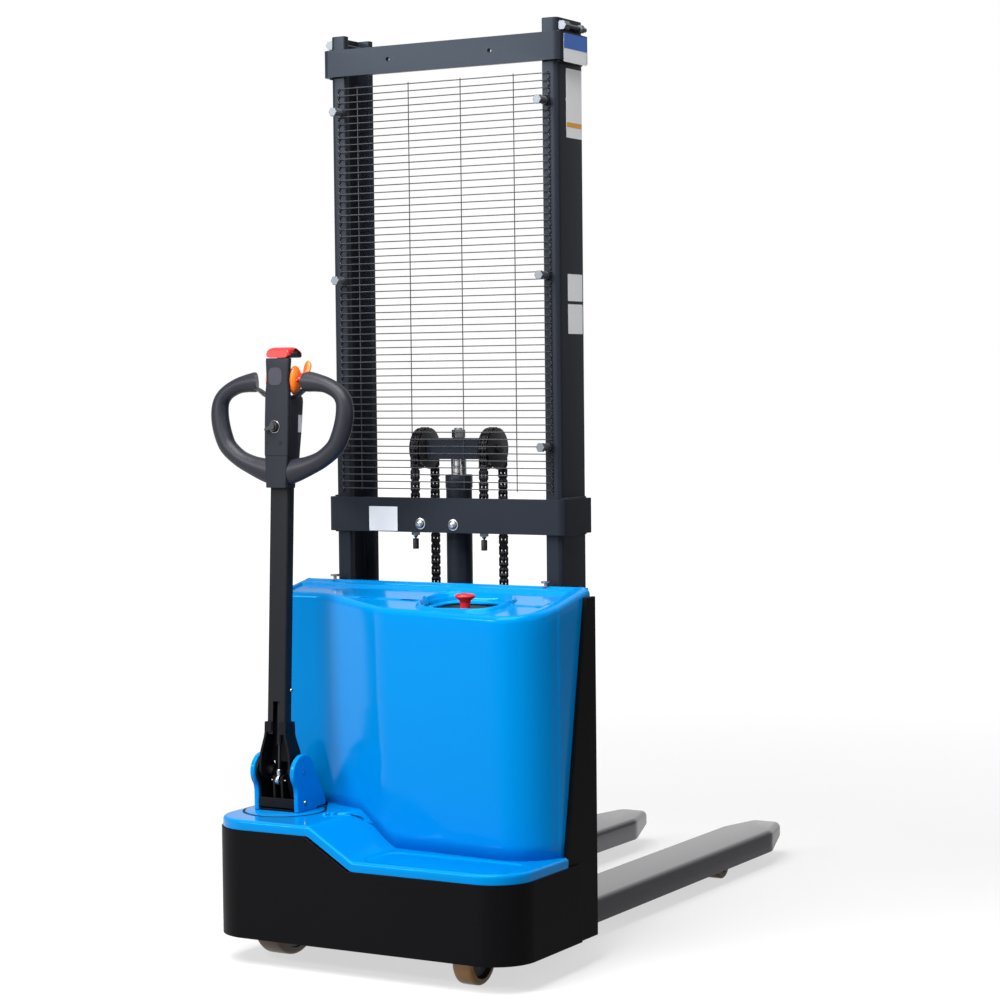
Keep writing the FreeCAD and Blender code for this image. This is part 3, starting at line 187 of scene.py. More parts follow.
# in the truck's coat the paper fades out towards the drape on the right
sheet_at = add(sheet, "TexCoord", {})
sheet_axes = add(sheet, "SeparateXYZ", {0: sheet_at.outputs["Object"]})
sheet_fade = add(sheet, "MapRange",
                 {"Value": sheet_axes.outputs["X"], "From Min": 0.16, "From Max": 0.48,
                  "To Min": 1.0, "To Max": 0.0})
sheet_mirrored = add(sheet, "Math",
                     {0: sheet_light.outputs["Is Glossy Ray"], 1: sheet_fade.outputs["Result"]},
                     operation="MULTIPLY")
sheet_seen = add(sheet, "Math",
                 {0: sheet_light.outputs["Is Camera Ray"], 1: sheet_mirrored.outputs[0]},
                 operation="MAXIMUM")
matt = add(sheet, "BsdfDiffuse", {"Color": (0.34, 0.34, 0.34, 1.0)})
# lit from below, more so far from the truck, where the lamps fall off
sheet_far = add(sheet, "VectorMath", {0: sheet_at.outputs["Object"]},
                operation="LENGTH")
sheet_glow = add(sheet, "MapRange",
                 {"Value": sheet_far.outputs["Value"], "From Min": 1.5, "From Max": 6.0,
                  "To Min": 0.62, "To Max": 1.0})
bright = add(sheet, "Emission", {"Color": (1.0, 1.0, 1.0, 1.0),
                                                     "Strength": sheet_glow.outputs["Result"]})
both = add(sheet, "AddShader", {0: matt.outputs[0], 1: bright.outputs[0]})
sheet_mix = add(sheet, "MixShader",
                {0: sheet_seen.outputs[0], 1: matt.outputs[0], 2: both.outputs[0]})
add(sheet, "OutputMaterial", {"Surface": sheet_mix.outputs[0]})
floor_mesh.materials.append(paper)

# ---- chassis
# Foot beam, bulkhead, floor pan and caster well are laser-cut and folded mild steel, welded and
# powder-coated satin black.  The two side plates and the skirt round the front are bolted on.
home = {node: body for body, nodes in frame["record"]["behaviour"]["bodies"].items()
        for node in nodes}


def unit(v):
    """Each vector divided by its own length."""
    return v / np.maximum(np.linalg.norm(v, axis=-1, keepdims=True), 1e-12)


def finish(obj, material, body, smooth=35):
    """Shades a piece smooth except over sharp corners, coats it, and has it ride on its body."""
    obj.data.shade_smooth()
    obj.data.set_sharp_from_angle(angle=np.radians(smooth))
    obj.data.materials.clear()
    obj.data.materials.append(material)
    if body:
        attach(obj, body)
    return obj


def broken(obj, width, steps=2):
    """Breaks the sharp edges of a piece with a small round of the given width."""
    bevel = obj.modifiers.new("broken_edges", "BEVEL")
    bevel.width = width / 1000
    bevel.segments = steps
    bevel.limit_method = "ANGLE"
    bevel.angle_limit = np.radians(32)
    bevel.harden_normals = True
    bevel.use_clamp_overlap = True
    return obj


def dressed(node, material, width=1.2, steps=2):
    """A merged copy of a plain solid, its flat faces whole again and its edges broken."""
    work = bmesh.new()
    work.from_mesh(frame["nodes"][node].data)
    bmesh.ops.remove_doubles(work, verts=work.verts, dist=1e-5)
    bmesh.ops.dissolve_limit(work, angle_limit=np.radians(0.6), verts=work.verts,
                             edges=work.edges)
    mesh = bpy.data.meshes.new(node + "_coated")
    work.to_mesh(mesh)
    work.free()
    obj = finish(placed(node + "_coated", mesh), material, home[node])
    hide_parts(node)
    return broken(obj, width, steps)


def coating(name, colour, rough, grain, relief, patch=0.12, metal=0.0, coat=0.0, sheen=0.04,
            shine=0.5, glint="#FFFFFF"):
    """A coated or moulded surface.  Fine noise of the grain's size (mm) gives the relief (mm) and
    shifts the roughness by the sheen either way; slow noise 60 times as wide shifts colour a little
    either way."""
    material = bpy.data.materials.new(name)
    material.use_nodes = True
    tree = material.node_tree
    tree.nodes.clear()
    place = add(tree, "TexCoord", {}).outputs["Object"]
    slow = add(tree, "TexNoise", {"Vector": place, "Scale": 1000 / (60 * grain + 90),
                                            "Detail": 3.0})
    fine = add(tree, "TexNoise", {"Vector": place, "Scale": 1000 / grain,
                                            "Detail": 2.0})
    base = np.array(linear(colour))
    deep, pale = base * (1 - patch), base * (1 + patch)
    tint = add(tree, "Mix", {0: slow.outputs["Fac"], 6: (*deep[:3], 1.0),
                                       7: (*np.minimum(pale[:3], 1.0), 1.0)}, data_type="RGBA")
    gloss = add(tree, "MapRange", {"Value": fine.outputs["Fac"],
                                             "To Min": rough - sheen, "To Max": rough + sheen})
    bump = add(tree, "Bump", {"Height": fine.outputs["Fac"], "Distance": relief / 1000,
                                        "Strength": 0.6})
    skin = add(tree, "BsdfPrincipled",
               {"Base Color": tint.outputs[2], "Roughness": gloss.outputs["Result"],
                "Metallic": metal, "Normal": bump.outputs["Normal"], "Coat Weight": coat,
                "Coat Roughness": 0.08, "Specular IOR Level": shine,
                "Specular Tint": linear(glint)})
    add(tree, "OutputMaterial", {"Surface": skin.outputs[0]})
    return material


# satin powder coat: baked polyester with a faint orange-peel that softens every reflection
black_powder = coating("black_powder_coat", "#0C0C0E", 0.44, 1.6, 0.05, shine=0.05)
for node in ("foot_beam", "bulkhead", "floor_pan", "caster_well", "drive_carrier"):
    dressed(node, black_powder, 1.0)
for node in ("side_plate_left", "side_plate_right"):
    dressed(node, black_powder, 1.6)
dressed("skirt", black_powder, 1.4, 3)
# moulded polypropylene battery case, dull, and the pump's wet-painted steel, with a soft gloss:
# both are shut in the bay
battery_case = coating("battery_case_polypropylene", "#1E1F22", 0.55, 2.0, 0.06)
pump_enamel = coating("pump_enamel", "#26282C", 0.38, 1.2, 0.03)
dressed("battery", battery_case, 4.0, 3)
dressed("pump_unit", pump_enamel, 4.0, 3)

# ---- deck cover
# One vacuum-formed sheet of glossy blue ABS over the front of the chassis: a high platform round
# the tiller, a ramp, and a low step with a shallow tray pressed into it.  Its rim is turned down.
DECK_LOW, DECK_HIGH, RAMP_FOOT, RAMP_HEAD, RIM = 257, 325, -10, -121, 22
# the tray's middle x and y, its half sizes, corner radius and depth
TRAY = (177, -320, 173, 66, 30, 3.0)


def rounded(corners, radii, steps=8):
    """An outline with an arc in each corner: the arc's middle lies on the corner's bisector, and
    its points turn evenly from one tangent point to the other."""
    p = np.array(corners, float)
    r = np.broadcast_to(np.array(radii, float), len(p))[:, None]
    back, forth = unit(np.roll(p, 1, 0) - p), unit(np.roll(p, -1, 0) - p)
    half = np.arccos(np.clip((back * forth).sum(-1, keepdims=True), -0.9999, 0.9999)) / 2
    centre = p + unit(back + forth) * r / np.sin(half)
    start, stop = p + back * r / np.tan(half) - centre, p + forth * r / np.tan(half) - centre
    s, turn = np.linspace(0, 1, steps)[None, :, None], (np.pi - 2 * half)[:, None]
    arc = np.sin((1 - s) * turn) * start[:, None] + np.sin(s * turn) * stop[:, None]
    arc /= np.sin(turn)
    return (centre[:, None] + arc).reshape(-1, p.shape[1])


def evenly(line, count, closed=False):
    """A line's points spread evenly along its length, each between its two old neighbours."""
    line = np.vstack([line, line[:1]]) if closed else np.asarray(line, float)
    run = np.r_[0, np.cumsum(np.linalg.norm(np.diff(line, axis=0), axis=1))]
    at = np.linspace(0, run[-1], count, endpoint=not closed)
    return np.stack([np.interp(at, run, column) for column in line.T], -1)


def quads(rows, columns, round_rows=False, round_columns=False, first=0):
    """Four corners for each cell of a grid of points numbered row by row."""
    i = np.arange(rows if round_rows else rows - 1)[:, None]
    j = np.arange(columns if round_columns else columns - 1)[None]
    k, n = (i + 1) % rows, (j + 1) % columns
    cells = np.stack([i * columns + j, k * columns + j, k * columns + n, i * columns + n], -1)
    return (cells.reshape(-1, 4) + first).tolist()


def shell(name, patches, material, body, smooth=35, replaces=()):
    """Joins patches into one piece.  A patch is a grid of points in millimetres, with flags that
    say whether its rows and its columns close, and whether its end rows get a lid."""
    points, faces = [], []
    for patch in patches:
        grid, *flags = patch if isinstance(patch, tuple) else (patch,)
        ring_rows, ring_columns, lids = (list(flags) + [False] * 3)[:3]
        first = sum(len(p) for p in points)
        rows, columns = grid.shape[:2]
        faces += quads(rows, columns, ring_rows, ring_columns, first)
        if lids:
            last = first + (rows - 1) * columns
            faces += [list(range(first, first + columns)), list(range(last, last + columns))]
        points.append(grid.reshape(-1, 3))
    place = spot(*np.concatenate(points).T)
    mesh = bpy.data.meshes.new(name)
    mesh.from_pydata(place.tolist(), [], faces)
    work = bmesh.new()
    work.from_mesh(mesh)
    bmesh.ops.remove_doubles(work, verts=work.verts, dist=2e-6)
    bmesh.ops.dissolve_degenerate(work, dist=1e-6, edges=work.edges)
    bmesh.ops.recalc_face_normals(work, faces=work.faces)
    work.to_mesh(mesh)
    work.free()
    obj = finish(placed(name, mesh), material, body, smooth)
    if replaces:
        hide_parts(*replaces)
    return obj


def thick(obj, wall):
    """Gives an open sheet its wall, inwards from the face that shows."""
    skin = obj.modifiers.new("wall", "SOLIDIFY")
    skin.thickness = wall / 1000
    skin.offset = -1
    skin.use_even_offset = False
    return obj


def step(value, low, high):
    """0 below low, 1 above high, and 3t^2 - 2t^3 between, t being the share of the way."""
    t = np.clip((value - low) / (high - low), 0, 1)
    return t * t * (3 - 2 * t)


def deck_height(x, y):
    """The platform's height less the ramp's share of the fall, its corners eased by averaging
    the slope over 12 mm, less the tray's depth inside the tray's rounded outline."""
    ease = np.linspace(-6, 6, 9)
    fall = np.interp(np.asarray(x)[..., None] + ease, (RAMP_HEAD, RAMP_FOOT), (0, 1)).mean(-1)
    cx, cy, half_x, half_y, corner, deep = TRAY
    out_x, out_y = np.abs(x - cx) - half_x + corner, np.abs(y - cy) - half_y + corner
    outside = np.hypot(np.maximum(out_x, 0), np.maximum(out_y, 0)) - corner
    return DECK_HIGH - (DECK_HIGH - DECK_LOW) * fall - deep * (1 - step(outside, -7, 0))


def inward(line):
    """The unit normal of a plan line, to the left of its way along."""
    along = unit(np.gradient(line, axis=0))
    return np.stack([-along[:, 1], along[:, 0]], -1)


plan = evenly(rounded([(-391, -152), (-391, -400), (391, -400), (391, -152)], [0, 92, 92, 0],
                      30), 420)
under = evenly(rounded([(-362, -128), (-242, -128), (-38, -200), (362, -236), (362, -152)],
                       [10, 60, 60, 60, 0], 12), 420)
turned = np.linspace(0, np.pi / 2, 6)
edge_in = np.r_[2.0, 0.0, 0.0, 8 - 8 * np.cos(turned), 11]
edge_down = np.r_[RIM, RIM, 14, 8 - 8 * np.sin(turned), 0.0]
rim = plan[None] + edge_in[:, None, None] * inward(plan)[None]
field = rim[-1] + (under - rim[-1]) * np.linspace(0, 1, 34)[1:, None, None]
whole = np.concatenate([rim, field])
drop = np.r_[edge_down, np.zeros(33)][:, None]
# the rim hangs straight down from the edge, so its height follows the edge's own plan line
height = deck_height(whole[..., 0], whole[..., 1]) - drop
deck_grid = np.dstack([whole, height])

# glossy acrylic-capped ABS: deep colour under a clear, slightly wavy surface
blue_abs = coating("blue_abs", "#007CC4", 0.12, 6.0, 0.012, patch=0.03, sheen=0.02, shine=0.42,
                   glint="#20A0F0")
deck = shell("deck_cover_skin", [deck_grid], blue_abs, "chassis", 40, ["deck_cover"])
thick(deck, 5)

# ---- hood
# Injection-moulded blue ABS hood over the battery bay.  It leans out towards the top, a rolled
# bead runs round the front and sides, and the face inside the bead is sunk and slopes forward.
HOOD_LOW = [(-375, -17), (-375, -139), (-239, -139), (-35, -216), (375, -250), (375, -17)]
HOOD_HIGH = [(-375, -17), (-375, -141), (-239, -141), (-35, -236), (375, -278), (375, -17)]
HOOD_ROUND = [0, 25, 120, 120, 100, 0]
HOOD_FOOT, HOOD_TOP, HOOD_HEAD = 257, 834, 856
OVAL = (137, -146, 102, 60)  # the recess's middle x and y and its half sizes
SUNK = 8.5  # how far the face lies under the bead's crest


def hood_plane(y):
    """The height of the bead's crest: 834 at the back edge, falling 0.2 for each mm forward."""
    return HOOD_TOP + 0.2 * (y + 17)


def back_ridges(y):
    """Two rolled ridges along the back edge, each a raised cosine over the sunk face."""
    ridge = lambda middle, half: np.cos(np.clip((y - middle) / half, -1, 1) * np.pi / 2)
    return np.maximum(ridge(-22, 13), ridge(-47, 11)) ** 0.8 * SUNK - SUNK


low_line = evenly(rounded(HOOD_LOW, HOOD_ROUND, 24), 400)
high_line = evenly(rounded(HOOD_HIGH, HOOD_ROUND, 24), 400)
# rows of the wall, from under the deck up to where the bead begins
rise = np.linspace(0, 1, 14)[:, None]
wall_foot = deck_height(low_line[:, 0], low_line[:, 1]) - 5
wall_head = hood_plane(high_line[:, 1]) - 15
wall_z = wall_foot + (wall_head - wall_foot) * rise
share = ((wall_z - HOOD_FOOT) / (HOOD_HEAD - HOOD_FOOT))[..., None]
wall = low_line + (high_line - low_line) * share
# behind the crease on the right the wall stands 2.5 mm further out
wall[..., 0] += 2.5 * step(wall[..., 1], -164, -159) * (wall[..., 0] > 340)
top_line = wall[-1]
into = inward(top_line)
# the bead is twice as broad along the right side as along the front
breadth = (1 + 1.3 * step(top_line[:, 0], 345, 374))[:, None]
bead_in = np.array([0.4, 2.2, 5.6, 9.6, 13.0, 15.6, 17.6, 20.0])
bead_up = np.array([-10.0, -5.0, -1.4, 0.0, -1.2, -4.2, -7.2, -SUNK])
bead = top_line + bead_in[:, None, None] * breadth * into
bead_z = hood_plane(bead[..., 1]) + np.where(
    (bead_in > 9)[:, None], np.maximum(bead_up[:, None], back_ridges(bead[..., 1])),
    bead_up[:, None])
skin_grid = np.concatenate([np.dstack([wall, wall_z]), np.dstack([bead, bead_z])])
# the sunk face runs from the bead, closed along the back edge, to the oval recess
back_edge = np.linspace(bead[-1, -1], bead[-1, 0], 160)[1:-1]
outer = np.vstack([bead[-1], back_edge])
oval = rounded([(OVAL[0] + sx * OVAL[2], OVAL[1] + sy * OVAL[3])
                for sx, sy in ((1, 1), (-1, 1), (-1, -1), (1, -1))], OVAL[3] - 1, 40)
angle = np.arctan2(oval[:, 1] - OVAL[1], oval[:, 0] - OVAL[0])
order = np.argsort(angle)
want = np.arctan2(outer[:, 1] - OVAL[1], outer[:, 0] - OVAL[0])
inner = np.stack([np.interp(want, angle[order], oval[order, k], period=2 * np.pi)
                  for k in (0, 1)], -1)
reach = np.linalg.norm(outer - inner, axis=1)[:, None]
share = np.linspace(1, 0, 30)[:, None, None] ** 1.6
apart = reach * share
face = inner + (outer - inner) * share
lip = np.sin(np.clip(apart[..., 0] / 15, 0, 1) * np.pi) * (SUNK + 1)
lip *= np.clip(reach / 24, 0, 1)[:, 0]
face_z = hood_plane(face[..., 1]) + np.maximum(lip - SUNK, back_ridges(face[..., 1]))
# the lip turns down into the recess to a narrow ledge, which hides the rim of the black tub
centred = unit(inner - np.array(OVAL[:2]))
collar_in = np.array([1.5, 3.2, 3.8, 4.4, 8.2, 9.4, 10.2, 11.0])
collar_down = np.array([0.5, 3.5, 8.5, 10.5, 11.4, 12.4, 14.5, 17.0])
collar = inner[None] - collar_in[:, None, None] * centred[None]
collar_z = hood_plane(inner[:, 1]) - SUNK - collar_down[:, None]
face_grid = np.concatenate([np.dstack([face, face_z]), np.dstack([collar, collar_z])])
# the back edge is turned down behind the ridges
hem = np.stack([np.linspace(-372, 372, 120)] * 5)
hem_y = np.array([-17, -14.6, -13.4, -13.2, -13.2])[:, None] + 0 * hem
hem_z = hood_plane(-17) + back_ridges(-17.0) + np.array([0, -1.2, -4, -12, -30])[:, None] + 0 * hem
hood = shell("hood_moulding", [skin_grid, (face_grid, False, True), np.dstack([hem, hem_y, hem_z])],
             blue_abs, "chassis", 40, ["hood"])
thick(hood, 3)

# two zinc-plated thumb screws with disc heads hold the hood's back edge to the bulkhead
# bright zinc plate: a near-mirror that breaks up softly, slightly blue-grey
zinc = coating("bright_zinc_plate", "#A3A7AC", 0.28, 0.8, 0.01, patch=0.05, metal=1.0)


def revolved(profile, at, way=(0, 0, 1), count=28):
    """A profile of (radius, along) pairs turned about an axis: each pair goes to the axis point
    plus the along times the axis, plus the radius times a circle's cosine and sine."""
    way = unit(np.array(way, float))
    one = unit(np.cross(way, (0.31, 0.52, 0.79) if abs(way[2]) > 0.9 else (0, 0, 1.0)))
    two = np.cross(way, one)
    turn = np.linspace(0, 2 * np.pi, count, endpoint=False)[:, None]
    circle = np.cos(turn) * one + np.sin(turn) * two
    radius, along = np.array(profile, float).T
    return (np.array(at, float) + along[:, None, None] * way
            + radius[:, None, None] * circle[None], False, True)


def hexed(across_flats, low, high, at, way=(0, 0, 1)):
    """A hexagon bar between two places on an axis, its top edge chamfered."""
    r = across_flats / np.sqrt(3)
    return revolved([(0, low), (r, low), (r, high - 1), (r * 0.9, high), (0, high)], at, way, 6)


screw_bits = []
for x, y in ((-289, -24), (271, -24)):
    z = hood_plane(y) - 1
    screw_bits.append(revolved([(0, 0), (7, 0), (7, 1.4), (3.8, 1.6), (3.8, 8), (9.4, 8.2),
                                (10.5, 9.2), (10.5, 12.4), (9.4, 13.2), (0, 13.2)], (x, y, z)))
shell("hood_screws", screw_bits, zinc, "chassis", 30)

# ---- stop button and its tub
# The tub let into the hood is moulded black polypropylene; the emergency stop on its floor is a
# red nylon mushroom head on a stem that flares up into it, with a black collar at its foot.
# moulded polypropylene: dull, with a fine leather-like grain
black_tub = coating("black_polypropylene", "#141416", 0.48, 1.4, 0.05)

# an oval cup: shares of the recess's own outline and depths under the sunk face, from the cup's
# outside round its rim to the floor
cup = []
for share, down in ((0, 36), (0.93, 36), (0.93, 18.5), (0.86, 18.5), (0.85, 24), (0.8, 26),
                    (0, 26)):
    ring = np.array(OVAL[:2]) + (oval - OVAL[:2]) * share
    cup.append(np.column_stack([ring, hood_plane(ring[:, 1]) - SUNK - down]))
shell("stop_tray_moulded", [(np.array(cup), False, True)], black_tub, "chassis", 35,
      ["stop_tray"])
# moulded nylon in signal red: a soft gloss over an even colour
red_nylon = coating("red_nylon", "#E3262B", 0.34, 3.0, 0.02, patch=0.04)
stop_low, stop_high = (np.array(corner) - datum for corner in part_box("stop_button"))
stop_x, stop_y, stop_z = (*(stop_low + stop_high)[:2] * 500, stop_high[2] * 1000)
shell("stop_mushroom", [revolved([(0, -56), (11, -56), (11.5, -21), (13.5, -15),
                                  (22, -9.5), (23.6, -7), (23.2, -4.5), (20, -2), (12, -0.6),
                                  (6, 0), (0, -0.4)], (stop_x, stop_y, stop_z), count=48)],
      red_nylon, "chassis", 50, ["stop_button"])
shell("stop_collar", [revolved([(11.6, -54), (24, -54), (24, -42), (22, -40), (11.6, -40)],
                               (stop_x, stop_y, stop_z), count=40)], black_tub, "chassis", 40)

# ---- drive unit
# Cast-iron gearbox and motor that turn under the high platform, and their wheel: a band of
# cast amber polyurethane, gone brown with oil, on an iron hub with five wheel bolts.
# enamelled iron keeps the sand mould's grain under its paint; machined iron is bare and grey
cast_iron = coating("cast_iron_enamelled", "#17181A", 0.50, 2.2, 0.12)
cast_iron_bare = coating("machined_iron", "#4A4B4E", 0.40, 1.0, 0.03, metal=0.8)
dressed("drive_unit", cast_iron, 1.5)
# cast polyurethane, browned by oil in slow patches
amber_tread = coating("amber_polyurethane", "#5C3A0C", 0.38, 5.0, 0.05, patch=0.45)


def middle(node):
    """The middle of a CAD node's box and its size, in millimetres from the datum."""
    low, high = (np.array(corner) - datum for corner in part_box(node))
    return (low + high) * 500, (high - low) * 1000


def tyre_profile(radius, bore, wide, shoulder):
    """Half a tyre's section, mirrored: flat tread, a round shoulder, a side wall and the bore."""
    half = wide / 2
    turn = np.linspace(0, np.pi / 2, 6)
    side = [(radius - shoulder + shoulder * np.cos(a), half - shoulder + shoulder * np.sin(a))
            for a in turn]
    out = [(bore, half)] + side[::-1]
    return [(bore, -half)] + [(r, -a) for r, a in side[::-1]] + out[::-1] + [(bore, -half)]


(tyre_at, tyre_size), (hub_at, hub_size) = middle("drive_tyre"), middle("drive_hub")
shell("drive_tread", [revolved(tyre_profile(tyre_size[2] / 2, hub_size[2] / 2, tyre_size[0], 9),
                               tyre_at, (1, 0, 0), 72)], amber_tread, "drive_wheel", 40,
      ["drive_tyre"])
hub_bits = [revolved([(10.2, -27), (76, -27), (77, -26), (77, 26), (76, 27), (66, 27), (60, 16),
                      (34, 12), (26, 20), (10.2, 20), (10.2, -27)], hub_at, (1, 0, 0), 56)]
for turn in np.arange(5) * 2 * np.pi / 5:
    bolt_at = hub_at + np.array([0, np.cos(turn) * 45, np.sin(turn) * 45])
    hub_bits.append(hexed(13, 12, 21, bolt_at, (1, 0, 0)))
shell("drive_wheel_hub", hub_bits, cast_iron_bare, "drive_wheel", 35, ["drive_hub"])

# ---- caster
# Zinc-plated pressed fork on a ball race under the well's roof, with a polyurethane wheel on
# an iron core; the tread is cast amber, glossier than the drive wheel's and stained by oil.
dressed("caster_plate", zinc, 0.8)
dressed("caster_fork", zinc, 1.2)
caster_at, caster_size = middle("caster_wheel")
# the same cast polyurethane, yellower, under a clear skin
caster_tread = coating("caster_polyurethane", "#8C5C06", 0.30, 7.0, 0.04, patch=0.6, coat=0.3)
shell("caster_roller_tread", [revolved(tyre_profile(caster_size[2] / 2, 44, caster_size[0], 7),
                                       caster_at, (1, 0, 0), 64)], caster_tread, "caster_roller",
      40, ["caster_wheel"])
shell("caster_core", [revolved([(6.2, -22), (13, -22), (14, -16), (38, -14), (44, -21), (44, 21),
                                (38, 14), (14, 16), (13, 22), (6.2, 22), (6.2, -22)],
                               caster_at, (1, 0, 0), 48)], cast_iron, "caster_roller", 35)

# ---- support legs
# Folded steel channels welded to the foot beam, coated with the mast's charcoal powder; a
# polyurethane load roller turns on a pin between the cheeks at the end of each.
# charcoal polyester powder: satin, with a cool sheen where it turns away
charcoal = coating("charcoal_powder_coat", "#1F2229", 0.36, 1.5, 0.05, shine=0.16,
                   glint="#D8ECFF")


def sleeve(bore, radius, low, high, at, way, count):
    """A plain round sleeve between two places on an axis: its profile goes round the wall."""
    return revolved([(bore, low), (radius, low), (radius, high), (bore, high), (bore, low)], at,
                    way, count)


for side in ("left", "right"):
    dressed("support_leg_" + side, charcoal, 1.5)
    roller_at, roller_size = middle("load_roller_" + side)
    shell("load_roller_tread_" + side,
          [revolved(tyre_profile(roller_size[2] / 2, 24, roller_size[0], 5), roller_at,
                    (1, 0, 0), 48)], amber_tread, "roller_" + side[0], 40, ["load_roller_" + side])
    shell("load_roller_core_" + side,
          [sleeve(10.2, 23.9, -33, 33, roller_at, (1, 0, 0), 36)], cast_iron_bare,
          "roller_" + side[0], 35)

# ---- mast
# Two hot-rolled C channels joined by two bent straps, shot-blasted, welded and coated in
# charcoal powder.  Fillet welds run where each strap's wings meet the rails.
for node in ("mast_rail_left", "mast_rail_right"):
    dressed(node, charcoal, 1.5, 3)
for node in ("top_strap", "mid_strap"):
    dressed(node, charcoal, 1.8, 3)


def swept(profile, path, up=(0, 0, 1.0), ring=False, scale=None):
    """A profile carried along a path: at each point, its first number goes along the side (the
    way ahead crossed with up), its second along the top (side crossed with ahead).  The scale
    is one number or a pair of them for each point."""
    path, profile = np.array(path, float), np.array(profile, float)
    forth = (np.roll(path, -1, 0) - np.roll(path, 1, 0)) if ring else np.gradient(path, axis=0)
    forth = unit(forth)
    side = unit(np.cross(forth, up))
    top = np.cross(side, forth)
    size = np.reshape(1.0 if scale is None else scale, (-1, 1) if np.ndim(scale) < 2 else (-1, 2))
    size = np.broadcast_to(size, (len(path), 2))[:, :, None]
    grid = (path[:, None] + size[:, None, 0] * profile[None, :, :1] * side[:, None]
            + size[:, None, 1] * profile[None, :, 1:] * top[:, None])
    return grid, ring, True, not ring


def circle(radius, count=10):
    """Points round a circle, each its angle's cosine and sine times the radius."""
    turn = np.linspace(0, 2 * np.pi, count, endpoint=False)
    return np.stack([np.cos(turn), np.sin(turn)], -1) * radius


MAST_HALF, RAIL_DEEP, STOP_Z = 299, 122, 2072
rng = np.random.default_rng(7)
welds = []
for at, size in (middle("top_strap"), middle("mid_strap")):
    for s in (-1, 1):
        for z in (at[2] - size[2] / 2 - 0.4, at[2] + size[2] / 2 + 0.4):
            run = np.linspace(2, RAIL_DEEP - 10, 46)
            bead_line = np.stack([np.full_like(run, s * (MAST_HALF + 0.6)), run,
                                  np.full_like(run, z)], -1)
            ripple = 1 + 0.22 * np.sin(run * 1.3) + 0.08 * rng.standard_normal(len(run))
            welds.append(swept(circle(3.2, 8), bead_line, scale=ripple))
shell("strap_welds", welds, charcoal, "chassis", 60)


def pin(radius, low, high, at, way=(0, 0, 1), count=28):
    """A plain round pin between two places on an axis."""
    return revolved([(0, low), (radius, low), (radius, high), (0, high)], at, way, count)


# stop pins through the top of each rail between zinc-plated nuts, with a thin one inside
pins, stops = [], []
for s in (-1, 1):
    x = s * (MAST_HALF + 7)
    pins += [pin(5.5, 30, 96, (x, 0, STOP_Z), (0, 1, 0), 20),
             pin(2.6, 16, 108, (s * 268, 0, STOP_Z - 2), (0, 1, 0), 12)]
    stops += [hexed(17, 88, 104, (x, 0, STOP_Z), (0, 1, 0)),
              pin(5.5, 104, 118, (x, 0, STOP_Z), (0, 1, 0), 20),
              hexed(19, 8, 34, (x, 0, STOP_Z), (0, 1, 0))]
shell("rail_stop_pins", pins, cast_iron_bare, "chassis", 30)
# weathered zinc plate, greyer and duller than the new screws
dull_zinc = coating("dull_zinc_plate", "#6E7278", 0.46, 0.8, 0.02, patch=0.08, metal=0.9)
shell("rail_stop_nuts", stops, dull_zinc, "chassis", 30)

# two dome-headed zinc bolts through the middle strap, on flat washers
bolts = []
for x, z in ((-59, 966), (28, 964.5)):
    bolts.append(revolved([(0, 14), (13, 14), (13, 16), (10.5, 16.4), (10.2, 19), (8.5, 22),
                           (5, 24), (0, 24.6)], (x, 0, z), (0, -1, 0), 32))
shell("strap_bolts", bolts, zinc, "chassis", 40)

# ---- blank plates and labels
# Vinyl labels and a foil data plate, all left blank but for a blue band and a yellow stripe,
# with rounded corners.  The labels are 0.35 mm thick and the plate is 0.8 mm.
# vinyl has an even colour and a soft gloss; the foil is a little metallic
label_white = coating("white_vinyl", "#F7F8FA", 0.30, 2.0, 0.0, patch=0.02)
label_blue = coating("blue_vinyl", "#2C68C0", 0.30, 2.0, 0.0, patch=0.03)
label_yellow = coating("yellow_vinyl", "#E8A313", 0.32, 2.0, 0.0, patch=0.03)
label_silver = coating("silver_foil", "#D9DDE2", 0.34, 0.8, 0.005, patch=0.05, metal=0.15)


def panel(low, high, out, face, corner=2.5, thin=0.35):
    """A thin rounded plate: an outline in two of the axes, lifted from its back to its front."""
    outline = rounded([(low[0], low[1]), (high[0], low[1]), (high[0], high[1]),
                       (low[0], high[1])], corner, 5)
    layers = []
    for lift in (0.0, thin):
        level = np.full(len(outline), out + lift * (1 if face == "x" else -1))
        layers.append(np.stack([level, outline[:, 0], outline[:, 1]] if face == "x"
                               else [outline[:, 0], level, outline[:, 1]], -1))
    return np.stack(layers), False, True, True


strap_side, rail_side = MAST_HALF + 14.1, MAST_HALF + 0.1
OVER = 0.36  # a print's height over the back of its label
for name, panels, material in (
        ("capacity_label", [panel((4, 1991), (112, 2054), strap_side, "x")], label_white),
        ("capacity_band", [panel((4, 2021), (112, 2054), strap_side + OVER, "x", 2.0)], label_blue),
        ("rail_labels", [panel((39, 1828), (112, 1981), rail_side, "x"),
                         panel((40, 1466), (108, 1526), rail_side, "x"),
                         panel((40, 1393), (108, 1459), rail_side, "x")], label_white),
        ("rail_label_stripe", [panel((41, 1852), (110, 1862), rail_side + OVER, "x", 0.8)],
         label_yellow),
        ("data_plate", [panel((-198, 948), (-121.5, 1004), -14.1, "y", 1.5, 0.8)], label_silver)):
    shell(name, panels, material, "chassis")

# ---- wire guard
# Welded panel of bright-drawn wire, dipped black: 58 cross wires, four uprights behind them,
# the cross wires' ends cranked back to the rails, held by six zinc bolts on rubber pads.
guard_at, guard_size = middle("mesh_guard")
GUARD_HALF, GUARD_OUT, WIRE_PITCH, WIRES = 268, -11, 16.17, 58
guard_foot = guard_at[2] - guard_size[2] / 2 + 1.5
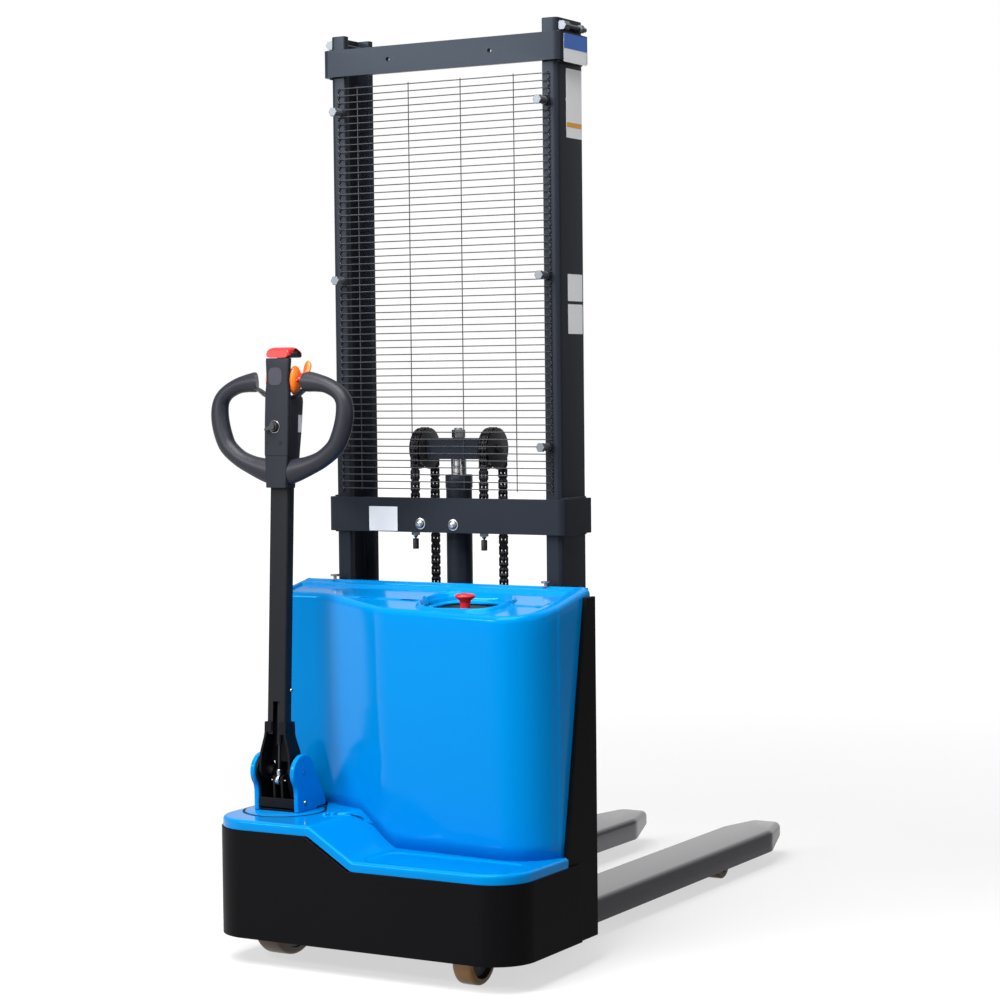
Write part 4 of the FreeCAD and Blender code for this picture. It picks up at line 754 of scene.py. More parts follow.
# wire dipped in black: a thin skin with a dull shine
black_wire = coating("black_dipped_wire", "#18191F", 0.45, 0.9, 0.02)
crank = np.array([(-GUARD_HALF - 12, -1.4), (-GUARD_HALF, GUARD_OUT), (GUARD_HALF, GUARD_OUT),
                  (GUARD_HALF + 12, -1.4)])
crank = rounded(crank, [0, 6, 6, 0], 4)
wires = []
for row in range(WIRES):
    level = np.full(len(crank), guard_foot + row * WIRE_PITCH)
    sag = rng.normal(0, 0.5)
    wires.append(swept(circle(1.35, 6), np.stack([crank[:, 0], crank[:, 1], level + sag * (
        1 - (crank[:, 0] / GUARD_HALF) ** 2)], -1)))
top_wire = guard_foot + (WIRES - 1) * WIRE_PITCH
for x in 48 - GUARD_HALF + 137.33 * np.arange(4):
    wires.append(swept(circle(1.3, 6), [(x, GUARD_OUT + 2.4, guard_foot - 4),
                                        (x, GUARD_OUT + 2.4, top_wire + 4)], (0, 1.0, 0)))
for s in (-1, 1):
    turns = np.arange(WIRES * 4)
    weave = np.stack([s * (GUARD_HALF + 8.5 + 3.2 * np.cos(turns * np.pi / 2)),
                      np.full(len(turns), -2.6), guard_foot - 8 + turns * WIRE_PITCH / 4], -1)
    wires.append(swept(circle(1.3, 5), weave, (0, 1.0, 0)))
shell("guard_wires", wires, black_wire, "chassis", 60, ["mesh_guard"])
clip_bits, clip_pads = [], []
for x, heights in ((2 - GUARD_HALF, (1912, 1525, 1142)), (GUARD_HALF + 3, (1907, 1522, 1142))):
    for z in heights:
        clip_bits += [pin(7.5, 14, 36, (x, 0, z), (0, -1, 0), 24),
                      hexed(19, 36, 45, (x, 0, z), (0, -1, 0))]
        clip_pads.append(revolved([(0, 1), (8, 1), (11, 5), (10, 14), (0, 14)], (x, 0, z),
                                  (0, -1, 0), 10))
shell("guard_clips", clip_bits, dull_zinc, "chassis", 30)
shell("guard_clip_pads", clip_pads, black_wire, "chassis", 40)

# ---- lift cylinder
# Honed steel tube coated charcoal, with a gland nut at its top and a hard-chromed rod.  The
# crosshead that the rod carries is welded plate; a zinc nut holds it down.
CYLINDER_Y, CHAIN_X, WHEEL_R = 60, 91, 44
(tube_at, tube_size), (rod_at, rod_size) = middle("lift_tube"), middle("lift_rod")
dressed("lift_tube", charcoal, 1.0)
tube_top = tube_at[2] + tube_size[2] / 2
shell("gland_nut", [revolved([(30.2, -30), (31.4, -29), (31.4, -24), (29.6, -23), (31.4, -21),
                              (31.4, -3), (29, 0.4), (18.6, 0.4), (18.6, -4), (30.2, -30)],
                             (0, CYLINDER_Y, tube_top), count=40)], charcoal, "chassis", 40)
# ground hard chrome: a clear, bright mirror
chrome = coating("hard_chrome", "#D5D8DC", 0.10, 0.6, 0.002, patch=0.03, metal=1.0, sheen=0.02)
rod_low = rod_at[2] - rod_size[2] / 2
rod_turn = revolved([(0, 0), (16, 0), (18, 2), (18, rod_size[2]), (0, rod_size[2])],
                    (0, CYLINDER_Y, rod_low), count=40)
shell("lift_rod_chromed", [rod_turn], chrome, "lifting_rod", 40, ["lift_rod"])
dressed("crosshead", charcoal, 1.5)
head_at, head_size = middle("crosshead")
head_top = head_at[2] + head_size[2] / 2
shell("crosshead_nut", [hexed(27, -17, 1.5, (0, CYLINDER_Y, head_top)),
                        revolved([(0, 0), (10, 0), (10, 4), (8.6, 5.6), (0, 5.6)],
                                 (0, CYLINDER_Y, head_top), count=24)], zinc, "lifting_rod", 30)

# ---- lifting chains
# Oiled steel roller chain, 12.7 mm pitch: outer and inner plates by turns, riveted pins, and
# rollers.  It runs from an anchor over a wheel on the crosshead and down to the carriage.
# dark steel wet with oil, so each plate's edge catches light
oiled_steel = coating("oiled_chain_steel", "#1C1C20", 0.38, 0.8, 0.02, metal=0.5, shine=0.3)
LINK = 12.7
half_link = np.array([(5.4, 0), (4.7, 2.7), (4.3, LINK / 2), (4.7, LINK - 2.7), (5.4, LINK),
                      (3.8, LINK + 3.8), (0, LINK + 5.4), (-3.8, LINK + 3.8), (-5.4, LINK),
                      (-4.7, LINK - 2.7), (-4.3, LINK / 2), (-4.7, 2.7), (-5.4, 0), (-3.8, -3.8),
                      (0, -5.4), (3.8, -3.8)])


def chain(path_points, x):
    """Plates, rollers and pins at even steps along a line in the chain's own plane: a plate's
    outline is turned to lie along the line, then doubled to its thickness across it."""
    bits = []
    ends = evenly(path_points, int(np.linalg.norm(np.diff(path_points, axis=0), axis=1).sum()
                                   // LINK) + 1)
    for number in range(len(ends) - 1):
        along = unit(ends[number + 1] - ends[number])
        beside = np.array([along[1], -along[0]])
        flat = ends[number] + half_link[:, :1] * beside + half_link[:, 1:] * along * (
            np.linalg.norm(ends[number + 1] - ends[number]) / LINK)
        for off in (9.0, 0.9, -0.9, -9.0) if number % 2 else (7.0, 2.6, -2.6, -7.0):
            layer = [np.column_stack([np.full(len(flat), x + off + t), flat]) for t in (-0.8, 0.8)]
            bits.append((np.stack(layer), False, True, True))
        bits.append(revolved([(0, -10.6), (2.3, -10.6), (2.3, -7), (4.1, -7), (4.1, 7), (2.3, 7),
                              (2.3, 10.6), (0, 10.6)], (x, *ends[number]), (1, 0, 0), 8))
    return bits


anchor_at, anchor_size = middle("anchor_rods")
wheel_z = middle("chain_wheel_left")[0][2]
front_low = anchor_at[2] + anchor_size[2] / 2
rear_low = middle("rear_chains")[0][2] - middle("rear_chains")[1][2] / 2
strands = {"front": [], "rear": [], "wrap": []}
for s in (-1, 1):
    strands["front"] += chain(np.array([(CYLINDER_Y - WHEEL_R, front_low - 6),
                                        (CYLINDER_Y - WHEEL_R, wheel_z)]), s * CHAIN_X)
    strands["rear"] += chain(np.array([(CYLINDER_Y + WHEEL_R, rear_low - 8),
                                       (CYLINDER_Y + WHEEL_R, wheel_z)]), s * CHAIN_X)
    turn = np.linspace(np.pi, 0, 60)
    strands["wrap"] += chain(np.stack([CYLINDER_Y + WHEEL_R * np.cos(turn),
                                       wheel_z + WHEEL_R * np.sin(turn)], -1), s * CHAIN_X)
front = shell("front_chain_links", strands["front"], oiled_steel, None, 40, ["front_chains"])
tuple(spot(0, 16, front_low))
tuple(spot(0, 16, wheel_z))
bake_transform(front)
rear = shell("rear_chain_links", strands["rear"], oiled_steel, "fork_carriage", 40,
             ["rear_chains"])
tuple(spot(0, 104, rear_low))
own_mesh(rear)
shell("chain_over_wheels", strands["wrap"], oiled_steel, "lifting_rod", 40, ["chain_wraps"])

# cast chain wheels, grooved for the chain between two flanges, with lightening webs
for side, s in (("left", -1), ("right", 1)):
    wheel_at = middle("chain_wheel_" + side)[0]
    sides = [(10.3, 9), (17, 9), (18, 6.5), (30, 6.0), (32, 9.2), (37.4, 9.2), (37.4, 5.6)]
    profile = [(r, -a) for r, a in sides] + sides[::-1] + [(10.3, -9)]
    bits = [revolved(profile, wheel_at, (1, 0, 0), 56)]
    for turn in np.arange(6) * np.pi / 3:
        bits.append(pin(4.5, -9, 9, wheel_at + np.array([0, np.cos(turn) * 24, np.sin(turn) * 24]),
                        (1, 0, 0), 10))
    shell("chain_wheel_cast_" + side, bits, cast_iron, "chain_wheel_" + side[0], 40,
          ["chain_wheel_" + side])
# flanged outer discs and snap-ring caps turn with the crosshead's axle
caps = []
for s in (-1, 1):
    for off in (-13.2, 13.2):
        caps.append(revolved([(10.2, -1.2), (46, -1.2), (47.5, 0), (46, 1.2), (10.2, 1.2),
                              (10.2, -1.2)], (s * CHAIN_X + off, CYLINDER_Y, wheel_z), (1, 0, 0),
                             48))
    caps.append(revolved([(0, 21), (13, 21), (13, 23), (9, 24.5), (0, 24.5)],
                         (s * CHAIN_X, CYLINDER_Y, wheel_z), (s, 0, 0), 24))
shell("chain_wheel_guards", caps, cast_iron, "lifting_rod", 40)

# zinc-plated anchors: a forked end pinned to the chain, a threaded rod, nuts and a black sleeve
rods, sleeves = [], []
for s in (-1, 1):
    at = (s * CHAIN_X, CYLINDER_Y - WHEEL_R, anchor_at[2] - anchor_size[2] / 2)
    tall = anchor_size[2]
    ridges = np.arange(22)
    thread = np.stack([5.4 + 0.5 * (ridges % 2), 30 + ridges * 1.6], -1)
    rods += [revolved([(0, 22), *thread.tolist(), (5.8, tall - 18), (0, tall - 18)], at, count=16),
             hexed(17, 32, 42, at), hexed(17, tall - 28, tall - 18, at),
             pin(9, tall - 18, tall - 4, at, count=16)]
    sleeves.append(revolved([(0, 0), (6.6, 0), (7, 1), (7, 23), (6.4, 24), (0, 24)], at, count=20))
    rods.append(pin(3, -15, 15, np.array(at) + (0, 0, tall - 5), (1, 0, 0), 12))
shell("anchor_rods_plated", rods, zinc, "chassis", 30, ["anchor_rods"])
shell("anchor_sleeves", sleeves, black_tub, "chassis", 40)

# ---- carriage and forks
# Flame-cut plates and square bars welded into a frame, with machined guide rollers on its
# pins; the forks are pressed from 5 mm plate with a shank welded on.  All are powder-coated, the
# forks glossier, so that their tops show the sky at a low angle.
fork_powder = coating("fork_powder_coat", "#131319", 0.30, 1.8, 0.04, patch=0.16, coat=0.5,
                      shine=0.5, glint="#DCD8F4")
dressed("carriage", charcoal, 1.5)
dressed("guide_rollers", cast_iron_bare, 1.2)
FORK_HALF, FORK_TOP, FORK_LOW, FORK_WALL, FORK_TIP = 74, 93, 37, 5, 1340
HEEL, SHANK_TOP, NOSE, NOSE_RISE = 165, 493, 135, 25


def stacked(outline, rows, bottom=None):
    """Level rings of one outline: each row draws it in by its inset, at its height; a height of
    None takes the bottom worked out for each point."""
    layers = []
    for inset, z in rows:
        ring = outline + inset * inward(outline)
        layers.append(np.column_stack([ring, bottom if z is None else np.full(len(ring), z)]))
    return np.stack(layers), False, True, True


for side, s in (("left", -1), ("right", 1)):
    fork_x = middle("fork_" + side)[0][0]
    blade = evenly(rounded([(0, HEEL), (FORK_HALF, HEEL), (FORK_HALF, FORK_TIP - NOSE),
                            (41, FORK_TIP), (-41, FORK_TIP), (-FORK_HALF, FORK_TIP - NOSE),
                            (-FORK_HALF, HEEL)], [0, 2, 90, 24, 24, 90, 2], 14), 300, True)
    foot = FORK_LOW + NOSE_RISE * np.clip((blade[:, 1] - FORK_TIP + NOSE) / NOSE, 0, 1)
    roll = np.radians(np.linspace(90, 0, 6))
    outside = list(zip(13 - 13 * np.cos(roll), FORK_TOP - 13 + 13 * np.sin(roll)))
    pressed = stacked(blade + (fork_x, 0), outside + [(0, None), (FORK_WALL, None),
                                                     (FORK_WALL, FORK_TOP - 9),
                                                     (12, FORK_TOP - FORK_WALL)], foot)
    bar = evenly(rounded([(0, HEEL), (FORK_HALF, HEEL), (FORK_HALF, HEEL + 16),
                          (-FORK_HALF, HEEL + 16), (-FORK_HALF, HEEL)], [0, 3, 3, 3, 3], 6),
                 160, True)
    shank = stacked(bar + (fork_x, 0), [(0, FORK_TOP - 12), (0, SHANK_TOP - 3),
                                        (1, SHANK_TOP - 0.8), (3, SHANK_TOP)])
    shell("fork_pressed_" + side, [pressed, shank], fork_powder, "fork_carriage", 35,
          ["fork_" + side])

# ---- tiller foot
# A blue turntable disc turns with the drive unit; a thin matt black ring laid on the deck round it
# is painted shade for the gap between them.  On the disc stand a folded black steel bracket with
# the gas spring's lugs, and outside the bracket two thick blue cheeks with rolled edges, held by
# the pivot's sleeves and a button-head screw each.
base_at, cheeks_size = middle("tiller_base")[0], middle("tiller_cheeks")[1]
pivot_x, pivot_y, pivot_z = middle("tiller_pins")[0]
CHEEK_OUT, CHEEK_WALL, FOOT, DISC_R = cheeks_size[0] / 2, 12, 327, 90
LEAN = np.radians(2.7)
# matt black, quite dull: painted shade for the dark gap round the turntable and in the head's screw
# wells
painted_shade_black = coating("painted_shade_matt_black", "#0D0D0E", 0.6, 1.2, 0.04, shine=0.2)
shell("turntable_disc", [revolved([(0, 319), (DISC_R, 319), (DISC_R, FOOT - 1.2),
                                   (DISC_R - 0.5, FOOT - 0.3), (DISC_R - 1.6, FOOT), (0, FOOT)],
                                  (base_at[0], base_at[1], 0), count=96)],
      blue_abs, "steering_unit", 40, ["tiller_base"])
# a thin matt black ring laid on the deck round the disc, standing for the gap between them: painted
# shade
shell("turntable_gap_shade", [revolved([(DISC_R + 0.6, 324), (DISC_R + 6, 324), (DISC_R + 6, 325.3),
                                   (DISC_R + 4.6, 325.9), (DISC_R + 1.4, 325.9),
                                   (DISC_R + 0.6, 325.2), (DISC_R + 0.6, 324)],
                                  (base_at[0], base_at[1], 0), count=96)], painted_shade_black, "chassis", 40)


def plate(outline, near, far, axis="x", steps=1):
    """A flat outline carried from one level to another: (y, z) pairs across x, or (x, z) pairs
    across y, with a lid at each end."""
    outline = np.array(outline, float)
    layers = []
    for level in np.linspace(near, far, steps + 1):
        flat = np.full(len(outline), level)
        layers.append(np.column_stack([flat, outline] if axis == "x"
                                      else [outline[:, 0], flat, outline[:, 1]]))
    return np.stack(layers), False, True, True


def cheek_outline(inset):
    """A cheek's side view: a straight front, a neck, an arc round the pivot's lobe, a slope and
    a rounded heel, all drawn in by the inset."""
    theta = np.radians(np.linspace(222, 28, 40))
    lobe = np.stack([pivot_y - 1.5 + (41 - inset) * np.cos(theta),
                     pivot_z + (41 - inset) * np.sin(theta)], -1)
    heel = np.radians(np.linspace(18, 0, 6))
    slope = np.stack([pivot_y + 84.5 - inset - 34 * (1 - np.cos(heel)) * 3,
                      FOOT + 16 + 34 * np.sin(heel)], -1)
    return np.vstack([[(pivot_y - 27.5 + inset, FOOT), (pivot_y - 27.5 + inset, 366),
                       (pivot_y - 28.1 + inset, 374), (pivot_y - 29.5 + inset, 381)], lobe, slope,
                      [(pivot_y + 84.5 - inset, FOOT + 4), (pivot_y + 52, FOOT + 4),
                       (pivot_y + 46, FOOT)]])


cheeks = [plate(cheek_outline(0), pivot_x + s * (CHEEK_OUT - CHEEK_WALL), pivot_x + s * CHEEK_OUT)
          for s in (-1, 1)]
broken(shell("tiller_cheek_covers", cheeks, blue_abs, "steering_unit", 30, ["tiller_cheeks"]),
       3.0, 4)
INNER = CHEEK_OUT - CHEEK_WALL
bracket = [plate(cheek_outline(5), pivot_x + s * (INNER - 4.5), pivot_x + s * INNER)
           for s in (-1, 1)]
bracket += [plate([(pivot_x - INNER, 336), (pivot_x + INNER, 336), (pivot_x + INNER, 357),
                   (pivot_x - INNER, 357)], pivot_y - 26, pivot_y - 20, "y"),
            plate([(pivot_x - INNER, FOOT), (pivot_x + INNER, FOOT), (pivot_x + INNER, FOOT + 5),
                   (pivot_x - INNER, FOOT + 5)], pivot_y - 24, pivot_y + 76, "y"),
            plate([(pivot_x - INNER, FOOT), (pivot_x + INNER, FOOT), (pivot_x + INNER, 432),
                   (pivot_x + INNER - 6, 438), (pivot_x - INNER + 6, 438),
                   (pivot_x - INNER, 432)], pivot_y + 40, pivot_y + 44, "y")]
for s in (-1, 1):
    lug = [(pivot_y - 17, FOOT), (pivot_y + 20, FOOT), (pivot_y - 4, 404), (pivot_y - 12, 408),
           (pivot_y - 20, 404)]
    bracket.append(plate(lug, pivot_x + s * 7.5, pivot_x + s * 13.5))
# brushed-on black enamel over pressed steel
black_bracket = coating("black_bracket_enamel", "#0D0D10", 0.40, 1.6, 0.04, shine=0.12)
broken(shell("tiller_bracket", bracket, black_bracket, "steering_unit", 30), 0.8)

# plated pivot sleeves, the spring's lower pin, and the cheeks' button-head screws
fittings = []
for s in (-1, 1):
    at = (pivot_x, pivot_y, pivot_z)
    fittings.append(revolved([(3.4, 21), (7.8, 21), (7.8, CHEEK_OUT - 1.5),
                              (5.4, CHEEK_OUT - 1.4), (5.2, CHEEK_OUT + 0.6),
                              (3.4, CHEEK_OUT + 0.6), (3.4, 21)], at, (s, 0, 0), 24))
    screw = (pivot_x, pivot_y + 1, 347)
    fittings.append(revolved([(0, CHEEK_OUT - 1), (5.2, CHEEK_OUT - 1), (5.2, CHEEK_OUT + 0.6),
                              (4.2, CHEEK_OUT + 2.4), (2.4, CHEEK_OUT + 3.0),
                              (1.9, CHEEK_OUT + 1.2), (0, CHEEK_OUT + 1.2)], screw, (s, 0, 0), 24))
spring_y, eye_z = middle("spring_rod")[0][1], 396
fittings.append(pin(2.2, -19, 19, (pivot_x, spring_y - 1, eye_z), (1, 0, 0), 16))
shell("tiller_pivot_fittings", fittings, zinc, "steering_unit", 30, ["tiller_pins"])

# ---- tiller yoke and tube
# A pressed black yoke, open in front, clasps the foot of the rectangular steel tube and flares
# down to the pivot.  The tube is slotted in front over the gas spring.


def leaned(*patches):
    """Patches drawn upright, tipped back about the pivot: (y, z) turned by the lean."""
    tipped = []
    for patch in patches:
        grid, *flags = patch if isinstance(patch, tuple) else (patch,)
        y, z = grid[..., 1] - pivot_y, grid[..., 2] - pivot_z
        tipped.append((np.stack([grid[..., 0],
                                 pivot_y + y * np.cos(LEAN) + z * np.sin(LEAN),
                                 pivot_z - y * np.sin(LEAN) + z * np.cos(LEAN)], -1), *flags))
    return tipped


COLLAR = 528
YOKE_FRONT, YOKE_BACK, YOKE_HALF, PRESSED = pivot_y - 32, pivot_y + 14, 42, 5.5
# rows of the yoke: height, half width, half opening in front, and where its back wall stands
yoke_rows = []
for z, half, gap, back in ((COLLAR, 27.5, 10, 6), (COLLAR - 3, 28.5, 10, 6), (506, 28.5, 10, 7),
                           (504, 28.5, 22.5, 7), (492, 30.5, 24.5, 8), (478, 34.5, 28.5, 10),
                           (462, 39, 33, 13), (450, 41, 35, 14), (436, YOKE_HALF,
                                                                  YOKE_HALF - 6, 14)):
    wall = PRESSED if gap > 20 else half - gap
    yoke_rows.append([(-half, YOKE_FRONT, z), (-half, pivot_y + back, z),
                      (half, pivot_y + back, z), (half, YOKE_FRONT, z),
                      (half - wall, YOKE_FRONT, z), (half - wall, YOKE_FRONT + 4, z),
                      (half - PRESSED, YOKE_FRONT + 4, z),
                      (half - PRESSED, pivot_y + back - PRESSED, z),
                      (PRESSED - half, pivot_y + back - PRESSED, z),
                      (PRESSED - half, YOKE_FRONT + 4, z), (wall - half, YOKE_FRONT + 4, z),
                      (wall - half, YOKE_FRONT, z)])
yoke_rows = np.array(yoke_rows) + (pivot_x, 0, 0)
theta = np.radians(np.linspace(0, -180, 17))
ears = []
for s in (-1, 1):
    ear = np.vstack([[(YOKE_FRONT, 437), (YOKE_FRONT, pivot_z)],
                     np.stack([(YOKE_FRONT + YOKE_BACK) / 2 - 23 * np.cos(theta),
                               pivot_z + 6 + 23 * np.sin(theta)], -1)[1:-1],
                     [(YOKE_BACK, pivot_z), (YOKE_BACK, 437)]])
    ears.append(plate(ear, pivot_x + s * (YOKE_HALF - PRESSED), pivot_x + s * YOKE_HALF))
    ears.append(sleeve(8.1, 11.5, 21.5, 38, (pivot_x, pivot_y, pivot_z), (s, 0, 0), 24))
# satin black powder on drawn tube
black_tube = coating("black_satin_tube", "#15161A", 0.42, 1.4, 0.04, shine=0.15)
broken(shell("tiller_yoke_pressed", leaned((yoke_rows, False, True, True), *ears), black_bracket,
             "tiller", 30, ["tiller_yoke"]), 1.5, 3)
dressed("tiller_arm", black_tube, 0.8)
shell("tiller_tube_screws", leaned(*(
    revolved([(0, 24), (4.6, 24), (4.6, 25.6), (3.6, 27.2), (0, 27.6)],
             (pivot_x, pivot_y - 6, 599), (s, 0, 0), 20) for s in (-1, 1))), zinc, "tiller", 40)

# ---- gas spring
# Black lacquered tube pinned inside the tiller's tube, a dark nitrided rod, and a bright forged
# eye round the pin between the lugs.
SPRING_TOP = 640
# a ground, nitrided rod: dark grey and sleek
nitrided = coating("nitrided_rod", "#3A3B3F", 0.22, 0.6, 0.002, metal=0.8)
shell("gas_spring_body", leaned(
    revolved([(4.2, 476), (6.4, 476), (6.6, 478), (6.6, 628), (5, 630), (4.2, 630)],
             (pivot_x, spring_y, 0), count=24),
    sleeve(4.2, 8, -6, 6, (pivot_x, spring_y, SPRING_TOP), (1, 0, 0), 24)), black_tube,
      "gas_spring_tube", 40, ["spring_tube"])
shell("gas_spring_rod_ground", leaned(pin(3.4, 410, 578, (pivot_x, spring_y, 0), count=20)),
      nitrided, "gas_spring_rod", 40)
shell("gas_spring_eye", leaned(
    revolved([(6.8, -4.5), (10.5, -4.5), (11.5, -3), (11.5, 3), (10.5, 4.5), (6.8, 4.5),
              (6.8, -4.5)], (pivot_x, spring_y, eye_z), (1, 0, 0), 28),
    revolved([(4.5, 404), (6.2, 409), (6.2, 418), (4.4, 420), (3.5, 420)],
             (pivot_x, spring_y, 0), count=20)), zinc, "gas_spring_rod", 40, ["spring_rod"])

# ---- tiller head
# Injection-moulded charcoal nylon, matt-textured: a front housing over the tube's end, a deeper
# back shell screwed on behind it, and a fork-like top that leaves the thumb switches free.
# spark-textured nylon, matt; the shell behind is a paler batch
nylon = coating("charcoal_nylon", "#1F2129", 0.50, 1.1, 0.08, shine=0.15)
nylon_back = coating("charcoal_nylon_back", "#3A3B44", 0.52, 1.1, 0.08, shine=0.15)
HEAD_FRONT, HEAD_BACK, NOTCH, HEAD_TOP = pivot_y - 43, pivot_y - 1, 1262, 1346
CORE_FRONT = HEAD_FRONT + 8


def block_rows(rows, corner=6.0, steps=5):
    """A moulding from level sections: each row gives a height, a half width, the front's and the
    back's y, and becomes a rectangle with rounded corners."""
    layers = []
    for z, half, front, back in rows:
        flat = rounded([(pivot_x - half, front), (pivot_x + half, front),
                        (pivot_x + half, back), (pivot_x - half, back)], corner, steps)
        layers.append(np.column_stack([flat, np.full(len(flat), z)]))
    return np.stack(layers), False, True, True


# the front wall, one row for each change of width: narrow at the foot, a step under the cover's
# lower edge, and drawn in beside the thumb switches
front_wall = [(1054, 26.5, 2), (1055, 27.5, 1), (1070, 28.0, 1), (1126, 31.4, 1), (1127, 32.0, 0),
              (1200, 32.8, 0), (NOTCH, 32.4, 0), (1276, 31.4, 0), (1298, 29.6, 0), (1320, 31, 0),
              (1338, 32.2, 0), (HEAD_TOP - 1, 32.2, 1)]
housing = [block_rows([(z, half, HEAD_FRONT + back, HEAD_FRONT + 13) for z, half, back
                       in front_wall], 4),
           block_rows([(z, half, CORE_FRONT, HEAD_BACK + back) for z, half, back in (
               (1054.5, 26.2, 0), (1070, 27.6, 0), (1127, 31.4, 0), (1200, 32.3, 0),
               (NOTCH - 8, 32, 0), (NOTCH, 29, -3))], 2),
           # rib that carries the switches' axle and the red button's hinge
           block_rows([(z, 6, CORE_FRONT, HEAD_BACK + back) for z, back in (
               (NOTCH - 6, 0), (1330, 0), (1352, 2))], 2)]
shell("head_front_housing", leaned(*housing), nylon, "tiller", 35, ["head_housing"])
back_shell = block_rows([(z, half, HEAD_BACK - 6, HEAD_BACK + back) for z, half, back in (
    (1072, 25, 3), (1121, 29, 13), (1180, 29.5, 19), (1249, 29.5, 24), (1258, 29, 23),
    (1263, 27, 19))], 4)
shell("head_back_shell", leaned(back_shell), nylon_back, "tiller", 35)

# ---- loop grips
# Two soft-touch loops moulded round steel cores.  Each leaves the head's foot, runs out and up,
# and ends beside the head, where a thin lip under the thumb switch joins it to the housing.
# soft-touch rubber skin, which blurs every highlight
grip = coating("soft_touch_grip", "#202129", 0.42, 2.4, 0.06, shine=0.25)
GRIP_IN, GRIP_DEEP, ARM_HEAD = 19.2, 17.0, 1058
loop_y = pivot_y - 22


def eased(points, count):
    """A smooth curve through points: between each two, the Catmull-Rom cubic whose slopes come
    from their neighbours, read at even steps."""
    p = np.array(points, float)
    p = np.vstack([2 * p[0] - p[1], p, 2 * p[-1] - p[-2]])
    at = np.linspace(0, len(p) - 3 - 1e-9, count)
    k, t = at.astype(int), (at % 1)[:, None]
    a, b, c, d = p[k], p[k + 1], p[k + 2], p[k + 3]
    return 0.5 * (2 * b + (c - a) * t + (2 * a - 5 * b + 4 * c - d) * t ** 2
                  + (3 * b - a - 3 * c + d) * t ** 3)


around = circle(1.0, 24)
# a loop's middle line and its half width: distance from the tiller, height over the tube
GRIP_LINE = eased([(60, 235, 23.5), (93, 232, 20.5), (121, 226, 18), (149, 212, 17.5),
                   (165, 194, 19), (170, 172, 21), (168, 145, 22), (159, 114, 22), (144, 87, 21),
                   (112, 62, 20), (78, 47, 22), (46, 37, 26), (20, 30, 28)], 130)
loops, lips = [], []
for s in (-1, 1):
    line, width = GRIP_LINE[:, :2], GRIP_LINE[:, 2:] / GRIP_IN
    path = np.column_stack([pivot_x + s * line[:, 0], np.full(len(line), loop_y),
                            ARM_HEAD + line[:, 1]])
    ends = 1 - 0.12 * (1 - step(np.arange(len(path)), 0, 1.5))[:, None]
    grid, *flags = swept(around * (GRIP_IN, GRIP_DEEP), path, (0, 1.0, 0),
                         scale=np.hstack([width * ends, 1 + 0.3 * (width - 1) * ends]))
    # the upper end is cut on the slant, further out behind than in front
    cut_back = 1 - step(np.arange(len(path)), 0, 16)[:, None]
    grid[..., 0] += s * 0.45 * (grid[..., 1] - loop_y + GRIP_DEEP) * cut_back
    loops.append((grid, *flags))
    lip_line = eased([(74, 222), (62, 217), (52, 211), (42, 204), (28, 200)], 24)
    lip = np.column_stack([pivot_x + s * lip_line[:, 0], np.full(24, loop_y),
                           ARM_HEAD + lip_line[:, 1]])
    lips.append(swept(around * (3.6, 14), lip, (0, 1.0, 0)))
shell("loop_grips", leaned(*loops, *lips), grip, "tiller", 50, ["handle_loops"])

# ---- red button and thumb switches
# The belly button is a bright red arched cap over the head; the butterfly switches are orange
# acetal, a broad pad in front and a smaller one behind, on a red hub.
# moulded acetal: saturated, with a waxy half gloss
cap_red = coating("red_acetal", "#CC2224", 0.36, 3.0, 0.02, patch=0.03)
orange = coating("orange_acetal", "#F87218", 0.38, 3.0, 0.02, patch=0.03)
# side view of the cap: height of its top and of its underside at places along y
along = np.linspace(0, 1, 40)[:, None]
cap_y = HEAD_FRONT - 1 + 58 * along
cap_top = np.interp(along, (0, 0.08, 0.25, 0.55, 0.85, 0.97, 1),
                    (1360, 1367, 1369.5, 1371, 1364, 1357, 1352))
cap_low = np.interp(along, (0, 0.1, 0.22, 0.5, 0.72, 0.95, 1),
                    (1346, 1346, 1352, 1360, 1359, 1349, 1348))
smooth_over = lambda line: np.convolve(np.pad(line[:, 0], 3, "edge"), np.ones(7) / 7, "valid")
cap_top, cap_low = smooth_over(cap_top), smooth_over(cap_low)
ring = np.linspace(0, 2 * np.pi, 28, endpoint=False)
box_x = np.sign(np.cos(ring)) * np.abs(np.cos(ring)) ** 0.35
box_z = np.sign(np.sin(ring)) * np.abs(np.sin(ring)) ** 0.5
# the red skin is thick in front and thins to 4 mm over the hook behind, which is lined in black
skin_low = np.maximum(cap_low, cap_top - 26 + 21 * step(along[:, 0], 0.2, 0.5))
half_wide = 31.5 - 3.5 * (1 - step(along[:, 0], 0, 0.08)) - 3 * step(along[:, 0], 0.9, 1.0)
for name, top, low, inset, paint in (
        ("belly_button_cap", cap_top, skin_low, 0, cap_red),
        ("belly_button_lining", cap_top - 3, np.minimum(cap_low, skin_low) - 0.2, 0.8, nylon)):
    mid_z, half_z = (top + low) / 2, (top - low) / 2
    taper = 1 - 0.12 * np.maximum(box_z, 0)
    cap = np.stack([pivot_x + (half_wide[:, None] - inset) * box_x * taper,
                    np.repeat(cap_y + inset * (1 - 2 * along), len(ring), 1),
                    mid_z[:, None] + half_z[:, None] * box_z], -1)
    shell(name, leaned((cap, False, True, True)), paint, "tiller", 50,
          ["belly_button"] if name == "belly_button_cap" else [])


